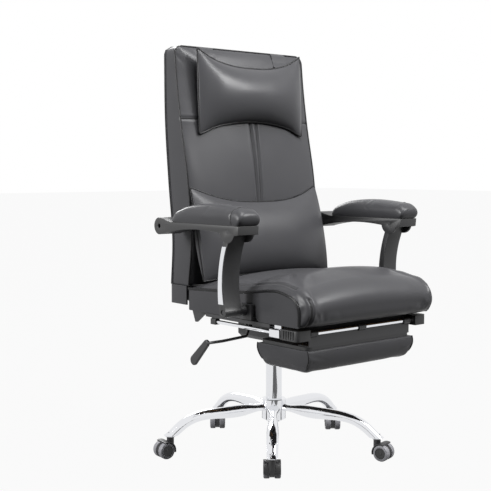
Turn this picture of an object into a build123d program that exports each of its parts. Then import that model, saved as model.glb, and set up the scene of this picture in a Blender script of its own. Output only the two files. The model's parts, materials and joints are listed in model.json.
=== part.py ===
from build123d import *
import os
from math import cos, radians, sin

# Reclining office chair with linked arms and a pull-out footrest, in millimetres.
# Origin on the floor under the column, +Z up, the sitter faces -Y, the sitter's left is +X.

# Clearances
run_gap = 0.05       # radial clearance of a shaft that turns or slides in its bore
soft_gap = 0.4       # a soft piece beside its neighbour
part_gap = 0.5       # flat faces of pieces that move past each other
open_gap = 0.3       # radial clearance at the arm's rear stud

# Base
leg_count = 5
first_leg_angle = -42.3    # degrees from the chair's front
stem_circle_radius = 318
hub_radius = 36
hub_bottom = 94
hub_height = 62
leg_root_height = 125
leg_root_width = 27
leg_root_depth = 37
leg_bend_width = 34
leg_bend_depth = 30
leg_wall = 2
leg_end_height = 63
sleeve_radius = 9
sleeve_length = 11
sleeve_flange_radius = 14
sleeve_flange_height = 3

# Casters
wheel_radius = 24
wheel_width = 17
wheel_gap = 14             # space between the two wheels
wheel_bevel = 3
disc_radius = 19.5
disc_groove = 1.2
axle_radius = 3
axle_grip = 11             # how far the axle reaches into each wheel
caster_trail = 22
stem_radius = 5.5
stem_length = 36
hood_shell = 3
hood_side_gap = 0.6
boss_radius = 10.5
boss_top = 57.5
caster_angles = (-40, -165, 140, 140, 85)   # where each caster happens to point

# Gas lift
column_radius = 24
column_wall = 2
column_bottom = 88
column_top = 262
column_floor = 3
bush_length = 70
bush_flange = 3
cylinder_radius = 14
cylinder_wall = 2.4
cylinder_bottom = 176
cylinder_top = 405
cylinder_end = 8
rod_radius = 5
rod_top = 310
rod_shoulder_radius = 9
rod_shoulder_height = 4
piston_height = 14
bearing_radius = 13
bearing_height = 6
clip_radius = 9
clip_height = 2
valve_radius = 3
valve_length = 18
valve_rise = 6             # pin above the cylinder when it is not pressed

# Mechanism
housing_half_width = 92
housing_front = -92
housing_rear = 66
housing_bottom = 344
housing_wall = 2.5
housing_corner = 14
socket_radius = 21
socket_height = 50
plate_thickness = 3
plate_half_width = 125
plate_front = -160
plate_rear = 72
bolt_radius = 4
bolt_head_radius = 7
bolt_head_height = 5

# Seat frame and board
frame_bottom = 426
frame_tube = 20
frame_rail_x = 195
frame_rail_front = -300
frame_rail_rear = 88
frame_bar_front = -130
frame_bar_rear = 42
board_thickness = 14
board_half_width = 243
board_front = -372
board_rear = 78

# Seat cushion
seat_half_width = 252
seat_rear = 88
seat_hem = 436
seat_crown = 16

# Linkage pivots, as (Y, Z), the upper two set below the top of the arm trays
tray_top = 696
arm_rear_pivot = (100, tray_top - 13)
post_foot_pivot = (-178, 464)
post_head_pivot = (-205, tray_top - 16)
hinge_y = arm_rear_pivot[0] - (post_head_pivot[0] - post_foot_pivot[0])
hinge_z = arm_rear_pivot[1] - (post_head_pivot[1] - post_foot_pivot[1])
hinge_pin_radius = 6
hinge_boss_radius = 15
hinge_plate_thickness = 6
hinge_point_y = 112        # lowest point of the seat's hinge bracket
hinge_point_z = 395

# Back
back_half_width = 250
back_foot = 505
back_top = 1190
back_skin = 6              # rear upholstery behind the board
back_board = 10
back_board_half_width = 232
back_edge_radius = 10
cover_foot = 450
cover_wall = 5

# Arms
post_inner_x = 284
post_width = 56
post_depth = 20
post_foot_boss = 14
post_head_boss = 12
trim_thickness = 2.5
trim_foot = 486
trim_head = post_head_pivot[1] - 40
pivot_pin_radius = 5
arm_bracket_x = 258
arm_bracket_thickness = 8
arm_bracket_plate = 6
arm_bracket_length = 60
arm_bracket_inner = 206
tray_inner_x = 277
tray_width = 70
tray_depth = 25
tray_bottom = tray_top - tray_depth
tray_front = -252
tray_rear = 46
cheek_radius = 30           # round cheeks of the tray beside the post's head
lug_radius = 24
pad_front = -262
pad_rear = 42
pad_height = 46
pad_crown = 6

# Footrest
rest_rod_radius = 5.5
rest_rod_x = 241
rest_rod_z = 414
rest_rod_rear = -18
rest_cross_y = -357
rest_cross_radius = 5.5
rail_width = 22
rail_height = 9.5
rail_wall = 2
rail_front = -266
rail_rear = 8
rail_slot = 9
guide_front = -306
guide_rear = -267
guide_half_width = 13
guide_half_height = 12
corner_rear = -308
corner_front = -374
corner_half_height = 14
corner_inner_x = 205
corner_outer_x = 252
rest_half_width = 205
rest_board_thickness = 9
rest_board_top = 379
rest_pad_thickness = 62
rest_front = -362
rest_rear = -164
rest_sheet = 3
rest_sheet_half_width = 195

# Lever
lever_radius = 4
lever_pivot_x = -36
lever_pivot_radius = 8
lever_pivot_length = 26
lever_tip_x = 5
paddle_thickness = 9

os.makedirs("parts", exist_ok=True)


def save(piece, name):
    """Label a finished piece and write its file."""
    piece.part.label = name
    export_step(piece.part, f"parts/{name}.step")


def both_sides(stations):
    """Stations listed from one side to the middle, carried on to the other side."""
    return [(-station[0],) + station[1:] for station in stations] + list(stations[-2::-1])


def mirrored(piece):
    """The same piece on the other side of the chair."""
    with BuildPart() as other:
        add(mirror(piece.part, about=Plane.YZ))
    return other


# Hub: a ring welded round the column, with the five legs against it
with BuildPart() as base_hub:
    with BuildSketch(Plane.XY.offset(hub_bottom)):
        Circle(hub_radius)
        Circle(column_radius, mode=Mode.SUBTRACT)
    extrude(amount=hub_height)
    chamfer(base_hub.edges().filter_by(GeomType.CIRCLE).group_by(SortBy.RADIUS)[-1], 1.5)
save(base_hub, "base_hub")


def leg_sections(shrink):
    """Oval sections of a leg along -Y: distance from the axis, height, slope, width, depth."""
    stretch = stem_circle_radius / 318    # the bends keep their share of the leg's length
    mid_width = (leg_root_width + leg_bend_width) / 2
    mid_depth = (leg_root_depth + leg_bend_depth) / 2
    stations = (
        (hub_radius - 14, leg_root_height + 0.9, -2.2, leg_root_width, leg_root_depth),
        (110 * stretch, leg_root_height - 2.5, -2.2, leg_root_width + 1.5, leg_root_depth - 1),
        (170 * stretch, leg_root_height - 4.8, -2.2, mid_width, mid_depth),
        (208 * stretch, leg_root_height - 6.6, -6, leg_bend_width - 1, leg_bend_depth + 1),
        (240 * stretch, leg_root_height - 12.5, -16, leg_bend_width, leg_bend_depth),
        (266 * stretch, leg_root_height - 23, -29, leg_bend_width, leg_bend_depth),
        (290 * stretch, leg_root_height - 39.5, -38, leg_bend_width - 1, leg_bend_depth),
        (328 * stretch, leg_root_height - 71, -41, leg_bend_width - 2, leg_bend_depth),
    )
    for distance, height, slope, width, depth in stations:
        out = Vector(0, -cos(radians(slope)), sin(radians(slope)))
        plane = Plane(origin=(0, -distance, height), x_dir=(1, 0, 0), z_dir=out)
        yield plane, width / 2 - shrink, depth / 2 - shrink


with BuildPart() as leg:
    for plane, half_width, half_depth in leg_sections(0):
        with BuildSketch(plane):
            Ellipse(half_width, half_depth)
    loft()
    for plane, half_width, half_depth in leg_sections(leg_wall):
        with BuildSketch(plane):
            Ellipse(half_width, half_depth)
    loft(mode=Mode.SUBTRACT)
    with BuildSketch(Plane.XY.offset(hub_bottom - 60)):
        Circle(hub_radius)
    extrude(amount=hub_height + 120, mode=Mode.SUBTRACT)
    with BuildSketch(Plane.XY.offset(leg_end_height)):
        with Locations((0, -stem_circle_radius)):
            Rectangle(80, 80)
    extrude(amount=-60, mode=Mode.SUBTRACT)
    with BuildSketch(Plane.XY.offset(leg_end_height)):
        with Locations((0, -stem_circle_radius)):
            Circle(sleeve_radius)
    extrude(amount=sleeve_length, mode=Mode.SUBTRACT)

with BuildPart() as base_legs:
    with PolarLocations(0, leg_count, first_leg_angle):
        add(leg.part)
save(base_legs, "base_legs")

# Sleeves in the leg ends, each with a flange below the tube
with BuildPart() as sleeve:
    with BuildSketch(Plane.XY.offset(leg_end_height)):
        with Locations((0, -stem_circle_radius)):
            Circle(sleeve_radius)
    extrude(amount=sleeve_length)
    with BuildSketch(Plane.XY.offset(leg_end_height)):
        with Locations((0, -stem_circle_radius)):
            Circle(sleeve_flange_radius)
    extrude(amount=-sleeve_flange_height)
    with BuildSketch(Plane.XY.offset(leg_end_height - sleeve_flange_height)):
        with Locations((0, -stem_circle_radius)):
            Circle(stem_radius + run_gap)
    extrude(amount=sleeve_flange_height + sleeve_length, mode=Mode.SUBTRACT)

with BuildPart() as caster_sleeves:
    with PolarLocations(0, leg_count, first_leg_angle):
        add(sleeve.part)
save(caster_sleeves, "caster_sleeves")

# Casters, made with the stem on the Z axis and the axle behind it along +Y
wheel_outer = wheel_gap / 2 + wheel_width
shell_radius = wheel_radius + hood_side_gap + hood_shell
web_half = wheel_gap / 2 - hood_side_gap
stem_foot = boss_top + sleeve_length - stem_length

with BuildPart() as hood:
    with BuildSketch(Plane.YZ):
        with Locations((caster_trail, wheel_radius)):
            Circle(wheel_radius - 3)
        with Locations(((caster_trail - boss_radius) / 2, wheel_radius)):
            Rectangle(caster_trail + boss_radius, wheel_radius / 2)
    extrude(amount=web_half, both=True)
    with BuildSketch(Plane.YZ):
        with Locations((caster_trail, wheel_radius)):
            Circle(shell_radius)
            Circle(shell_radius - hood_shell, mode=Mode.SUBTRACT)
        with Locations((caster_trail + 9, wheel_radius - 6)):
            Rectangle(
                2 * shell_radius + 18,
                2 * shell_radius,
                align=(Align.MAX, Align.MIN),
                mode=Mode.INTERSECT,
            )
    extrude(amount=wheel_outer, both=True)
    with BuildSketch(Plane.YZ):
        with Locations((caster_trail, wheel_radius)):
            Circle(shell_radius - 1)
        with Locations((caster_trail + 9, wheel_radius - 6)):
            Rectangle(
                2 * shell_radius + 18,
                2 * shell_radius,
                align=(Align.MAX, Align.MIN),
                mode=Mode.INTERSECT,
            )
    extrude(amount=web_half, both=True)
    with BuildSketch(Plane.XY.offset(boss_top)):
        Circle(boss_radius)
    extrude(amount=-(boss_top - wheel_radius))
    with BuildSketch(Plane.YZ.offset(-wheel_outer)):
        with Locations((caster_trail, wheel_radius)):
            Circle(shell_radius - hood_shell)
    extrude(amount=wheel_width + hood_side_gap, mode=Mode.SUBTRACT)
    with BuildSketch(Plane.YZ.offset(wheel_outer)):
        with Locations((caster_trail, wheel_radius)):
            Circle(shell_radius - hood_shell)
    extrude(amount=-wheel_width - hood_side_gap, mode=Mode.SUBTRACT)
    with BuildSketch(Plane.XY.offset(stem_foot)):
        Circle(stem_radius)
    extrude(amount=stem_length, mode=Mode.SUBTRACT)
    with BuildSketch(Plane.YZ.offset(-web_half)):
        with Locations((caster_trail, wheel_radius)):
            Circle(axle_radius)
    extrude(amount=2 * web_half, mode=Mode.SUBTRACT)

with BuildPart() as stem:
    with BuildSketch(Plane.XY.offset(stem_foot)):
        Circle(stem_radius)
    extrude(amount=stem_length)
    chamfer(stem.edges().group_by(Axis.Z)[-1], 1.2)

with BuildPart() as axle:
    with BuildSketch(Plane.YZ.offset(-wheel_gap / 2 - axle_grip)):
        with Locations((caster_trail, wheel_radius)):
            Circle(axle_radius)
    extrude(amount=wheel_gap + 2 * axle_grip)

with BuildPart() as wheel:
    with BuildSketch(Plane.YZ.offset(wheel_gap / 2)):
        with Locations((caster_trail, wheel_radius)):
            Circle(wheel_radius)
    extrude(amount=wheel_width)
    fillet(wheel.edges().filter_by(GeomType.CIRCLE).group_by(Axis.X)[-1], wheel_bevel)
    fillet(wheel.edges().filter_by(GeomType.CIRCLE).group_by(Axis.X)[0], 1)
    with BuildSketch(Plane.YZ.offset(wheel_outer)):
        with Locations((caster_trail, wheel_radius)):
            Circle(disc_radius)
            Circle(disc_radius - disc_groove, mode=Mode.SUBTRACT)
    extrude(amount=-disc_groove, mode=Mode.SUBTRACT)
    with BuildSketch(Plane.YZ.offset(wheel_gap / 2)):
        with Locations((caster_trail, wheel_radius)):
            Circle(axle_radius + run_gap)
    extrude(amount=axle_grip + part_gap, mode=Mode.SUBTRACT)
    mirror(about=Plane.YZ)

for number in range(leg_count):
    leg_angle = first_leg_angle + number * 360 / leg_count
    stem_x = stem_circle_radius * sin(radians(leg_angle))
    stem_y = -stem_circle_radius * cos(radians(leg_angle))
    spot = Location((stem_x, stem_y, 0), (0, 0, caster_angles[number]))
    with BuildPart() as caster_hood:
        with Locations(spot):
            add(hood.part)
    save(caster_hood, f"caster_hood_{number + 1}")
    with BuildPart() as caster_pins:
        with Locations(spot):
            add(stem.part)
            add(axle.part)
    save(caster_pins, f"caster_pins_{number + 1}")
    with BuildPart() as caster_wheels:
        with Locations(spot):
            add(wheel.part)
    save(caster_wheels, f"caster_wheels_{number + 1}")

# Column: outer tube with a floor, guide bush at its mouth, thrust bearing on the floor
with BuildPart() as column_tube:
    with BuildSketch(Plane.XY.offset(column_bottom)):
        Circle(column_radius)
    extrude(amount=column_top - column_bottom)
    with BuildSketch(Plane.XY.offset(column_bottom + column_floor)):
        Circle(column_radius - column_wall)
    extrude(amount=column_top - column_bottom - column_floor, mode=Mode.SUBTRACT)
    with BuildSketch(Plane.XY.offset(column_bottom)):
        Circle(rod_radius + run_gap)
    extrude(amount=column_floor, mode=Mode.SUBTRACT)
save(column_tube, "column_tube")

with BuildPart() as column_bush:
    with BuildSketch(Plane.XY.offset(column_top)):
        Circle(column_radius - column_wall)
    extrude(amount=-bush_length)
    with BuildSketch(Plane.XY.offset(column_top)):
        Circle(column_radius - 0.5)
    extrude(amount=bush_flange)
    with BuildSketch(Plane.XY.offset(column_top + bush_flange)):
        Circle(cylinder_radius + run_gap)
    extrude(amount=-bush_length - bush_flange, mode=Mode.SUBTRACT)
save(column_bush, "column_bush")

bearing_foot = column_bottom + column_floor
with BuildPart() as thrust_bearing:
    with BuildSketch(Plane.XY.offset(bearing_foot)):
        Circle(bearing_radius)
        Circle(rod_radius + run_gap, mode=Mode.SUBTRACT)
    extrude(amount=bearing_height)
save(thrust_bearing, "thrust_bearing")

# Piston rod: stands on the bearing, held below the floor by a clip
shoulder_foot = bearing_foot + bearing_height
with BuildPart() as piston_rod:
    with BuildSketch(Plane.XY.offset(column_bottom - clip_height - 3)):
        Circle(rod_radius)
    extrude(amount=rod_top - column_bottom + clip_height + 3)
    with BuildSketch(Plane.XY.offset(shoulder_foot)):
        Circle(rod_shoulder_radius)
    extrude(amount=rod_shoulder_height)
    with BuildSketch(Plane.XY.offset(rod_top)):
        Circle(cylinder_radius - cylinder_wall - run_gap)
    extrude(amount=-piston_height)
    with BuildSketch(Plane.XY.offset(column_bottom - part_gap / 2)):
        Circle(clip_radius)
    extrude(amount=-clip_height)
save(piston_rod, "piston_rod")

# Pressure cylinder, held in the mechanism's socket
with BuildPart() as pressure_cylinder:
    with BuildSketch(Plane.XY.offset(cylinder_bottom)):
        Circle(cylinder_radius)
    extrude(amount=cylinder_top - cylinder_bottom)
    with BuildSketch(Plane.XY.offset(cylinder_bottom + cylinder_end)):
        Circle(cylinder_radius - cylinder_wall)
    extrude(amount=cylinder_top - cylinder_bottom - 2 * cylinder_end, mode=Mode.SUBTRACT)
    with BuildSketch(Plane.XY.offset(cylinder_bottom)):
        Circle(rod_radius + run_gap)
    extrude(amount=cylinder_end, mode=Mode.SUBTRACT)
    with BuildSketch(Plane.XY.offset(cylinder_top)):
        Circle(valve_radius + run_gap)
    extrude(amount=-cylinder_end, mode=Mode.SUBTRACT)
save(pressure_cylinder, "pressure_cylinder")

valve_top = cylinder_top + valve_rise
with BuildPart() as valve_pin:
    with BuildSketch(Plane.XY.offset(valve_top)):
        Circle(valve_radius)
    extrude(amount=-valve_length)
save(valve_pin, "valve_pin")

# Mechanism: pressed housing with a socket for the cylinder, closed by a plate under the seat frame
plate_top = frame_bottom
plate_bottom = plate_top - plate_thickness
housing_length = housing_rear - housing_front
housing_mid = (housing_rear + housing_front) / 2
lever_height = valve_top + open_gap + lever_radius
slot_foot = lever_height - 34

with BuildPart() as mechanism_housing:
    with BuildSketch(Plane.XY.offset(housing_bottom)):
        with Locations((0, housing_mid)):
            Rectangle(2 * housing_half_width, housing_length)
    extrude(amount=plate_bottom - housing_bottom)
    fillet(mechanism_housing.edges().filter_by(Axis.Z), housing_corner)
    chamfer(mechanism_housing.faces().sort_by(Axis.Z)[0].edges(), housing_corner - 2)
    offset(amount=-housing_wall, openings=mechanism_housing.faces().sort_by(Axis.Z)[-1])
    with BuildSketch(Plane.XY.offset(housing_bottom)):
        Circle(socket_radius)
    extrude(amount=socket_height)
    with BuildSketch(Plane.XY.offset(housing_bottom)):
        Circle(cylinder_radius)
    extrude(amount=socket_height, mode=Mode.SUBTRACT)
    with BuildSketch(Plane.YZ.offset(-housing_half_width)):
        with Locations((0, slot_foot)):
            Rectangle(2 * lever_radius + 6, plate_bottom - slot_foot, align=(Align.CENTER, Align.MIN))
    extrude(amount=housing_corner, mode=Mode.SUBTRACT)
save(mechanism_housing, "mechanism_housing")

# The plate carries two ears below it for the lever's pivot
ear_inner = lever_pivot_length / 2 - 6
with BuildPart() as mechanism_plate:
    with BuildSketch(Plane.XY.offset(plate_bottom)):
        with Locations((0, (plate_front + plate_rear) / 2)):
            RectangleRounded(2 * plate_half_width, plate_rear - plate_front, 12)
    extrude(amount=plate_thickness)
    for side in (-1, 1):
        ear_y = side * (ear_inner + 2)
        with BuildSketch(Plane.XY.offset(plate_bottom)):
            with Locations((lever_pivot_x, ear_y)):
                Rectangle(3.2 * lever_pivot_radius, 4)
        extrude(amount=-(plate_bottom - lever_height + lever_pivot_radius / 2 + 3))
    with BuildSketch(Plane.XZ.offset(-ear_inner - 6)):
        with Locations((lever_pivot_x, lever_height)):
            Circle(lever_pivot_radius / 2 + run_gap)
    extrude(amount=2 * ear_inner + 12, mode=Mode.SUBTRACT)
    with Locations((0, frame_bar_front, plate_top), (0, frame_bar_rear, plate_top)):
        with GridLocations(2 * plate_half_width - 50, 1, 2, 1):
            Hole(bolt_radius)
save(mechanism_plate, "mechanism_plate")

# Bolts up through the plate into the frame's cross bars
with BuildPart() as frame_bolts:
    with Locations((0, frame_bar_front, plate_bottom), (0, frame_bar_rear, plate_bottom)):
        with GridLocations(2 * plate_half_width - 50, 1, 2, 1):
            Cylinder(bolt_head_radius, bolt_head_height, align=(Align.CENTER, Align.CENTER, Align.MAX))
            Cylinder(
                bolt_radius,
                plate_thickness + frame_tube / 2,
                align=(Align.CENTER, Align.CENTER, Align.MIN),
            )
save(frame_bolts, "frame_bolts")

# Seat frame: two rails and two cross bars welded together
frame_top = frame_bottom + frame_tube
rail_length = frame_rail_rear - frame_rail_front
with BuildPart() as seat_frame:
    with BuildSketch(Plane.XY.offset(frame_bottom)):
        with Locations((0, (frame_rail_rear + frame_rail_front) / 2)):
            with GridLocations(2 * frame_rail_x, 1, 2, 1):
                Rectangle(frame_tube, rail_length)
        with Locations((0, frame_bar_front), (0, frame_bar_rear)):
            Rectangle(2 * frame_rail_x, frame_tube)
    extrude(amount=frame_tube)
    with Locations((0, frame_bar_front, frame_bottom), (0, frame_bar_rear, frame_bottom)):
        with GridLocations(2 * plate_half_width - 50, 1, 2, 1):
            Cylinder(
                bolt_radius,
                frame_tube / 2,
                align=(Align.CENTER, Align.CENTER, Align.MIN),
                mode=Mode.SUBTRACT,
            )
save(seat_frame, "seat_frame")

board_bottom = frame_top
board_top = board_bottom + board_thickness
with BuildPart() as seat_board:
    with BuildSketch(Plane.XY.offset(board_bottom)):
        with Locations((0, (board_front + board_rear) / 2)):
            RectangleRounded(2 * board_half_width, board_rear - board_front, 20)
    extrude(amount=board_thickness)
save(seat_board, "seat_board")

# Seat cushion: waterfall front, crowned top, sides drawn in to the piped seam
seat_front_foot = -378
seat_front = -414
seat_shoulder = 538
seat_swell = 552
seat_dip = 534
seat_back_edge = 484
seat_stations = (
    (seat_half_width, -27, 5, 38),
    (seat_half_width - 8, -9, 2, 18),
    (seat_half_width - 34, 1, 0, 3),
    (seat_half_width * 0.45, 0.7 * seat_crown, 0, 0),
    (0, seat_crown, 0, 0),
)


def seat_profile(lift, inset, draw):
    """Side profile of the cushion: top raised by lift, ends drawn in by inset, nose drawn back by draw."""
    foot_rear = (seat_rear - inset, seat_hem)
    foot_front = (seat_front_foot + inset, seat_hem)
    nose = (seat_front + draw, (seat_hem + seat_shoulder + lift) / 2 + 8)
    shoulder = (seat_front + 42 + 0.55 * draw, seat_shoulder + lift)
    dip = (seat_front + 250, seat_dip + lift)
    tail = (seat_rear - inset, seat_back_edge + 0.4 * lift)
    Line(foot_rear, foot_front)
    ThreePointArc(foot_front, nose, shoulder)
    ThreePointArc(shoulder, (seat_front + 125, seat_swell + lift), dip)
    ThreePointArc(dip, (seat_rear - 120, seat_dip - 6 + 0.8 * lift), tail)
    Line(tail, foot_rear)


with BuildPart() as seat_cushion:
    for x, lift, inset, draw in both_sides(seat_stations):
        with BuildSketch(Plane.YZ.offset(x)):
            with BuildLine():
                seat_profile(lift, inset, draw)
            make_face()
    loft()
    with BuildSketch(Plane.XY.offset(seat_hem)):
        with Locations((0, board_front - soft_gap)):
            Rectangle(2 * (board_half_width + soft_gap), 600, align=(Align.CENTER, Align.MIN))
    extrude(amount=board_top + soft_gap - seat_hem, mode=Mode.SUBTRACT)
    with BuildSketch(Plane.XY.offset(seat_hem)):
        with Locations((0, post_foot_pivot[0])):
            Rectangle(3 * seat_half_width, arm_bracket_length + 2 * soft_gap)
    extrude(amount=board_bottom + soft_gap - seat_hem, mode=Mode.SUBTRACT)
save(seat_cushion, "seat_cushion")

# Lever: bent rod on a pivot pin between the ears, with a flat paddle
lever_end = (-330.5, -97, 371)
with BuildPart() as lever_rod:
    with BuildLine() as lever_path:
        FilletPolyline(
            (lever_tip_x, 0, lever_height),
            (lever_pivot_x - 22, 0, lever_height),
            (-112, 0, lever_height - 17),
            (-160, -70, 385),
            (-205, -116, 380),
            (-300, -128, 378),
            (-330.5, -124, 377),
            lever_end,
            radius=11,
        )
    with BuildSketch(Plane.YZ.offset(lever_tip_x)):
        with Locations((0, lever_height)):
            Circle(lever_radius)
    sweep(path=lever_path.wires()[0])
with BuildPart() as lever_pivot:
    with BuildSketch(Plane.XZ.offset(-lever_pivot_length / 2)):
        with Locations((lever_pivot_x, lever_height)):
            Circle(lever_pivot_radius / 2)
    extrude(amount=lever_pivot_length)
    with BuildSketch(Plane.XZ.offset(-ear_inner + part_gap)):
        with Locations((lever_pivot_x, lever_height)):
            Circle(lever_pivot_radius - 1)
    extrude(amount=2 * (ear_inner - part_gap))
    with BuildSketch(Plane.YZ.offset(lever_pivot_x)):
        with Locations((0, lever_height)):
            Circle(lever_radius)
    extrude(amount=20, both=True, mode=Mode.SUBTRACT)

with BuildPart() as lever_with_pivot:
    add(lever_rod.part)
    add(lever_pivot.part)
save(lever_with_pivot, "lever_rod")

with BuildPart() as lever_paddle:
    with BuildSketch(Plane.YZ.offset(lever_end[0] - paddle_thickness / 2)):
        with Locations((lever_end[1], lever_end[2])):
            Circle(10)
        with Locations((lever_end[1] + 56, lever_end[2] - 54)):
            Circle(14)
        make_hull()
    extrude(amount=paddle_thickness)
    fillet(lever_paddle.edges().group_by(Axis.X)[0], 3)
    fillet(lever_paddle.edges().group_by(Axis.X)[-1], 3)
    add(lever_rod.part, mode=Mode.SUBTRACT)
save(lever_paddle, "lever_paddle")

# Hinge brackets of the seat: welded outside the rails, rising behind the cushion to the hinge
bracket_inner = frame_rail_x + frame_tube / 2
with BuildPart() as seat_brackets:
    with BuildSketch(Plane.YZ.offset(bracket_inner)):
        with BuildLine():
            Polyline(
                (12, frame_top - part_gap),
                (12, frame_bottom),
                (70, frame_bottom - 6),
                (hinge_point_y - 8, hinge_point_z),
                (hinge_point_y, hinge_point_z),
                (hinge_y + hinge_boss_radius, hinge_z),
                (hinge_y - hinge_boss_radius, hinge_z),
                (frame_rail_rear + 3, frame_top - part_gap),
                close=True,
            )
        make_face()
        with Locations((hinge_y, hinge_z)):
            Circle(hinge_boss_radius)
            Circle(hinge_pin_radius + run_gap, mode=Mode.SUBTRACT)
    extrude(amount=hinge_plate_thickness)
    mirror(about=Plane.YZ)
save(seat_brackets, "seat_brackets")

# Arm brackets: a plate under the seat board, turned up outside the cushion, with a boss for the post
bracket_top_z = board_bottom
with BuildPart() as arm_brackets:
    with BuildSketch(Plane.XZ.offset(-post_foot_pivot[0] - arm_bracket_length / 2)):
        with BuildLine():
            Polyline(
                (arm_bracket_inner, bracket_top_z - arm_bracket_plate),
                (arm_bracket_x + arm_bracket_thickness, bracket_top_z - arm_bracket_plate),
                (arm_bracket_x + arm_bracket_thickness, post_foot_pivot[1] + 18),
                (arm_bracket_x, post_foot_pivot[1] + 18),
                (arm_bracket_x, bracket_top_z),
                (arm_bracket_inner, bracket_top_z),
                close=True,
            )
        make_face()
    extrude(amount=arm_bracket_length)
    with BuildSketch(Plane.YZ.offset(arm_bracket_x + arm_bracket_thickness)):
        with Locations(post_foot_pivot):
            Circle(post_foot_boss)
    extrude(amount=post_inner_x - part_gap - arm_bracket_x - arm_bracket_thickness)
    with BuildSketch(Plane.YZ.offset(arm_bracket_x)):
        with Locations(post_foot_pivot):
            Circle(pivot_pin_radius)
    extrude(amount=60, mode=Mode.SUBTRACT)
    mirror(about=Plane.YZ)
save(arm_brackets, "arm_brackets")

# Footrest rails: channels with a slot below, hung from the board on two feet
rail_bottom = frame_bottom
rail_top = rail_bottom + rail_height
rail_foot_length = 38
rail_foot_width = board_half_width - rest_rod_x + rail_width / 2
with BuildPart() as rest_rails:
    with BuildSketch(Plane.XZ.offset(-rail_rear)):
        with Locations((rest_rod_x, rail_bottom)):
            Rectangle(rail_width, rail_height, align=(Align.CENTER, Align.MIN))
        with Locations((rest_rod_x, rail_bottom + rail_wall)):
            Rectangle(
                rail_width - 2 * rail_wall,
                rail_height - 2 * rail_wall,
                align=(Align.CENTER, Align.MIN),
                mode=Mode.SUBTRACT,
            )
        with Locations((rest_rod_x, rail_bottom)):
            Rectangle(rail_slot, rail_wall, align=(Align.CENTER, Align.MIN), mode=Mode.SUBTRACT)
    extrude(amount=rail_rear - rail_front)
    with BuildSketch(Plane.XY.offset(rail_top)):
        with Locations((board_half_width, rail_rear)):
            Rectangle(rail_foot_width, rail_foot_length, align=(Align.MAX, Align.MAX))
        with Locations((board_half_width, rail_front)):
            Rectangle(rail_foot_width, rail_foot_length, align=(Align.MAX, Align.MIN))
    extrude(amount=board_bottom - rail_top)
    mirror(about=Plane.YZ)
save(rest_rails, "rest_rails")

# Footrest guides: blocks under the seat's front that the side rods run through
with BuildPart() as rest_guides:
    with BuildSketch(Plane.XZ.offset(-guide_rear)):
        with Locations((rest_rod_x, rest_rod_z)):
            RectangleRounded(2 * guide_half_width, 2 * guide_half_height, 4)
    extrude(amount=guide_rear - guide_front)
    with BuildSketch(Plane.XY.offset(board_bottom)):
        with Locations((board_half_width, (guide_front + guide_rear) / 2)):
            Rectangle(rail_foot_width, guide_rear - guide_front - 8, align=(Align.MAX, Align.CENTER))
    extrude(amount=-(board_bottom - rest_rod_z))
    with BuildSketch(Plane.XZ.offset(-guide_rear)):
        with Locations((rest_rod_x, rest_rod_z)):
            Circle(rest_rod_radius + run_gap)
    extrude(amount=guide_rear - guide_front, mode=Mode.SUBTRACT)
    mirror(about=Plane.YZ)
save(rest_guides, "rest_guides")

# Bolts of the arm posts, fixed in the arm brackets, with their heads sunk in the posts
post_outer_x = post_inner_x + post_width
post_sink = 7
foot_head_radius = 6.5
with BuildPart() as post_bolts:
    with BuildSketch(Plane.YZ.offset(arm_bracket_x)):
        with Locations(post_foot_pivot):
            Circle(pivot_pin_radius)
    extrude(amount=post_outer_x - post_sink - arm_bracket_x)
    with BuildSketch(Plane.YZ.offset(post_outer_x - post_sink + part_gap)):
        with Locations(post_foot_pivot):
            Circle(foot_head_radius)
    extrude(amount=4)
    with BuildSketch(Plane.YZ.offset(post_outer_x - post_sink)):
        with Locations(post_foot_pivot):
            Circle(pivot_pin_radius)
    extrude(amount=part_gap)
    mirror(about=Plane.YZ)
save(post_bolts, "post_bolts")

# Footrest frame: side rods and cross rod, joined by ribbed corner blocks, with glides at the rear
rod_front = rest_cross_y + rest_cross_radius + 6
cross_half = corner_outer_x - 8
with BuildPart() as rest_rods:
    with BuildSketch(Plane.XZ.offset(-rest_rod_rear)):
        with Locations((rest_rod_x, rest_rod_z), (-rest_rod_x, rest_rod_z)):
            Circle(rest_rod_radius)
    extrude(amount=rest_rod_rear - rod_front)
    with BuildSketch(Plane.YZ.offset(-cross_half)):
        with Locations((rest_cross_y, rest_rod_z)):
            Circle(rest_cross_radius)
    extrude(amount=2 * cross_half)
save(rest_rods, "rest_rods")

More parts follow.
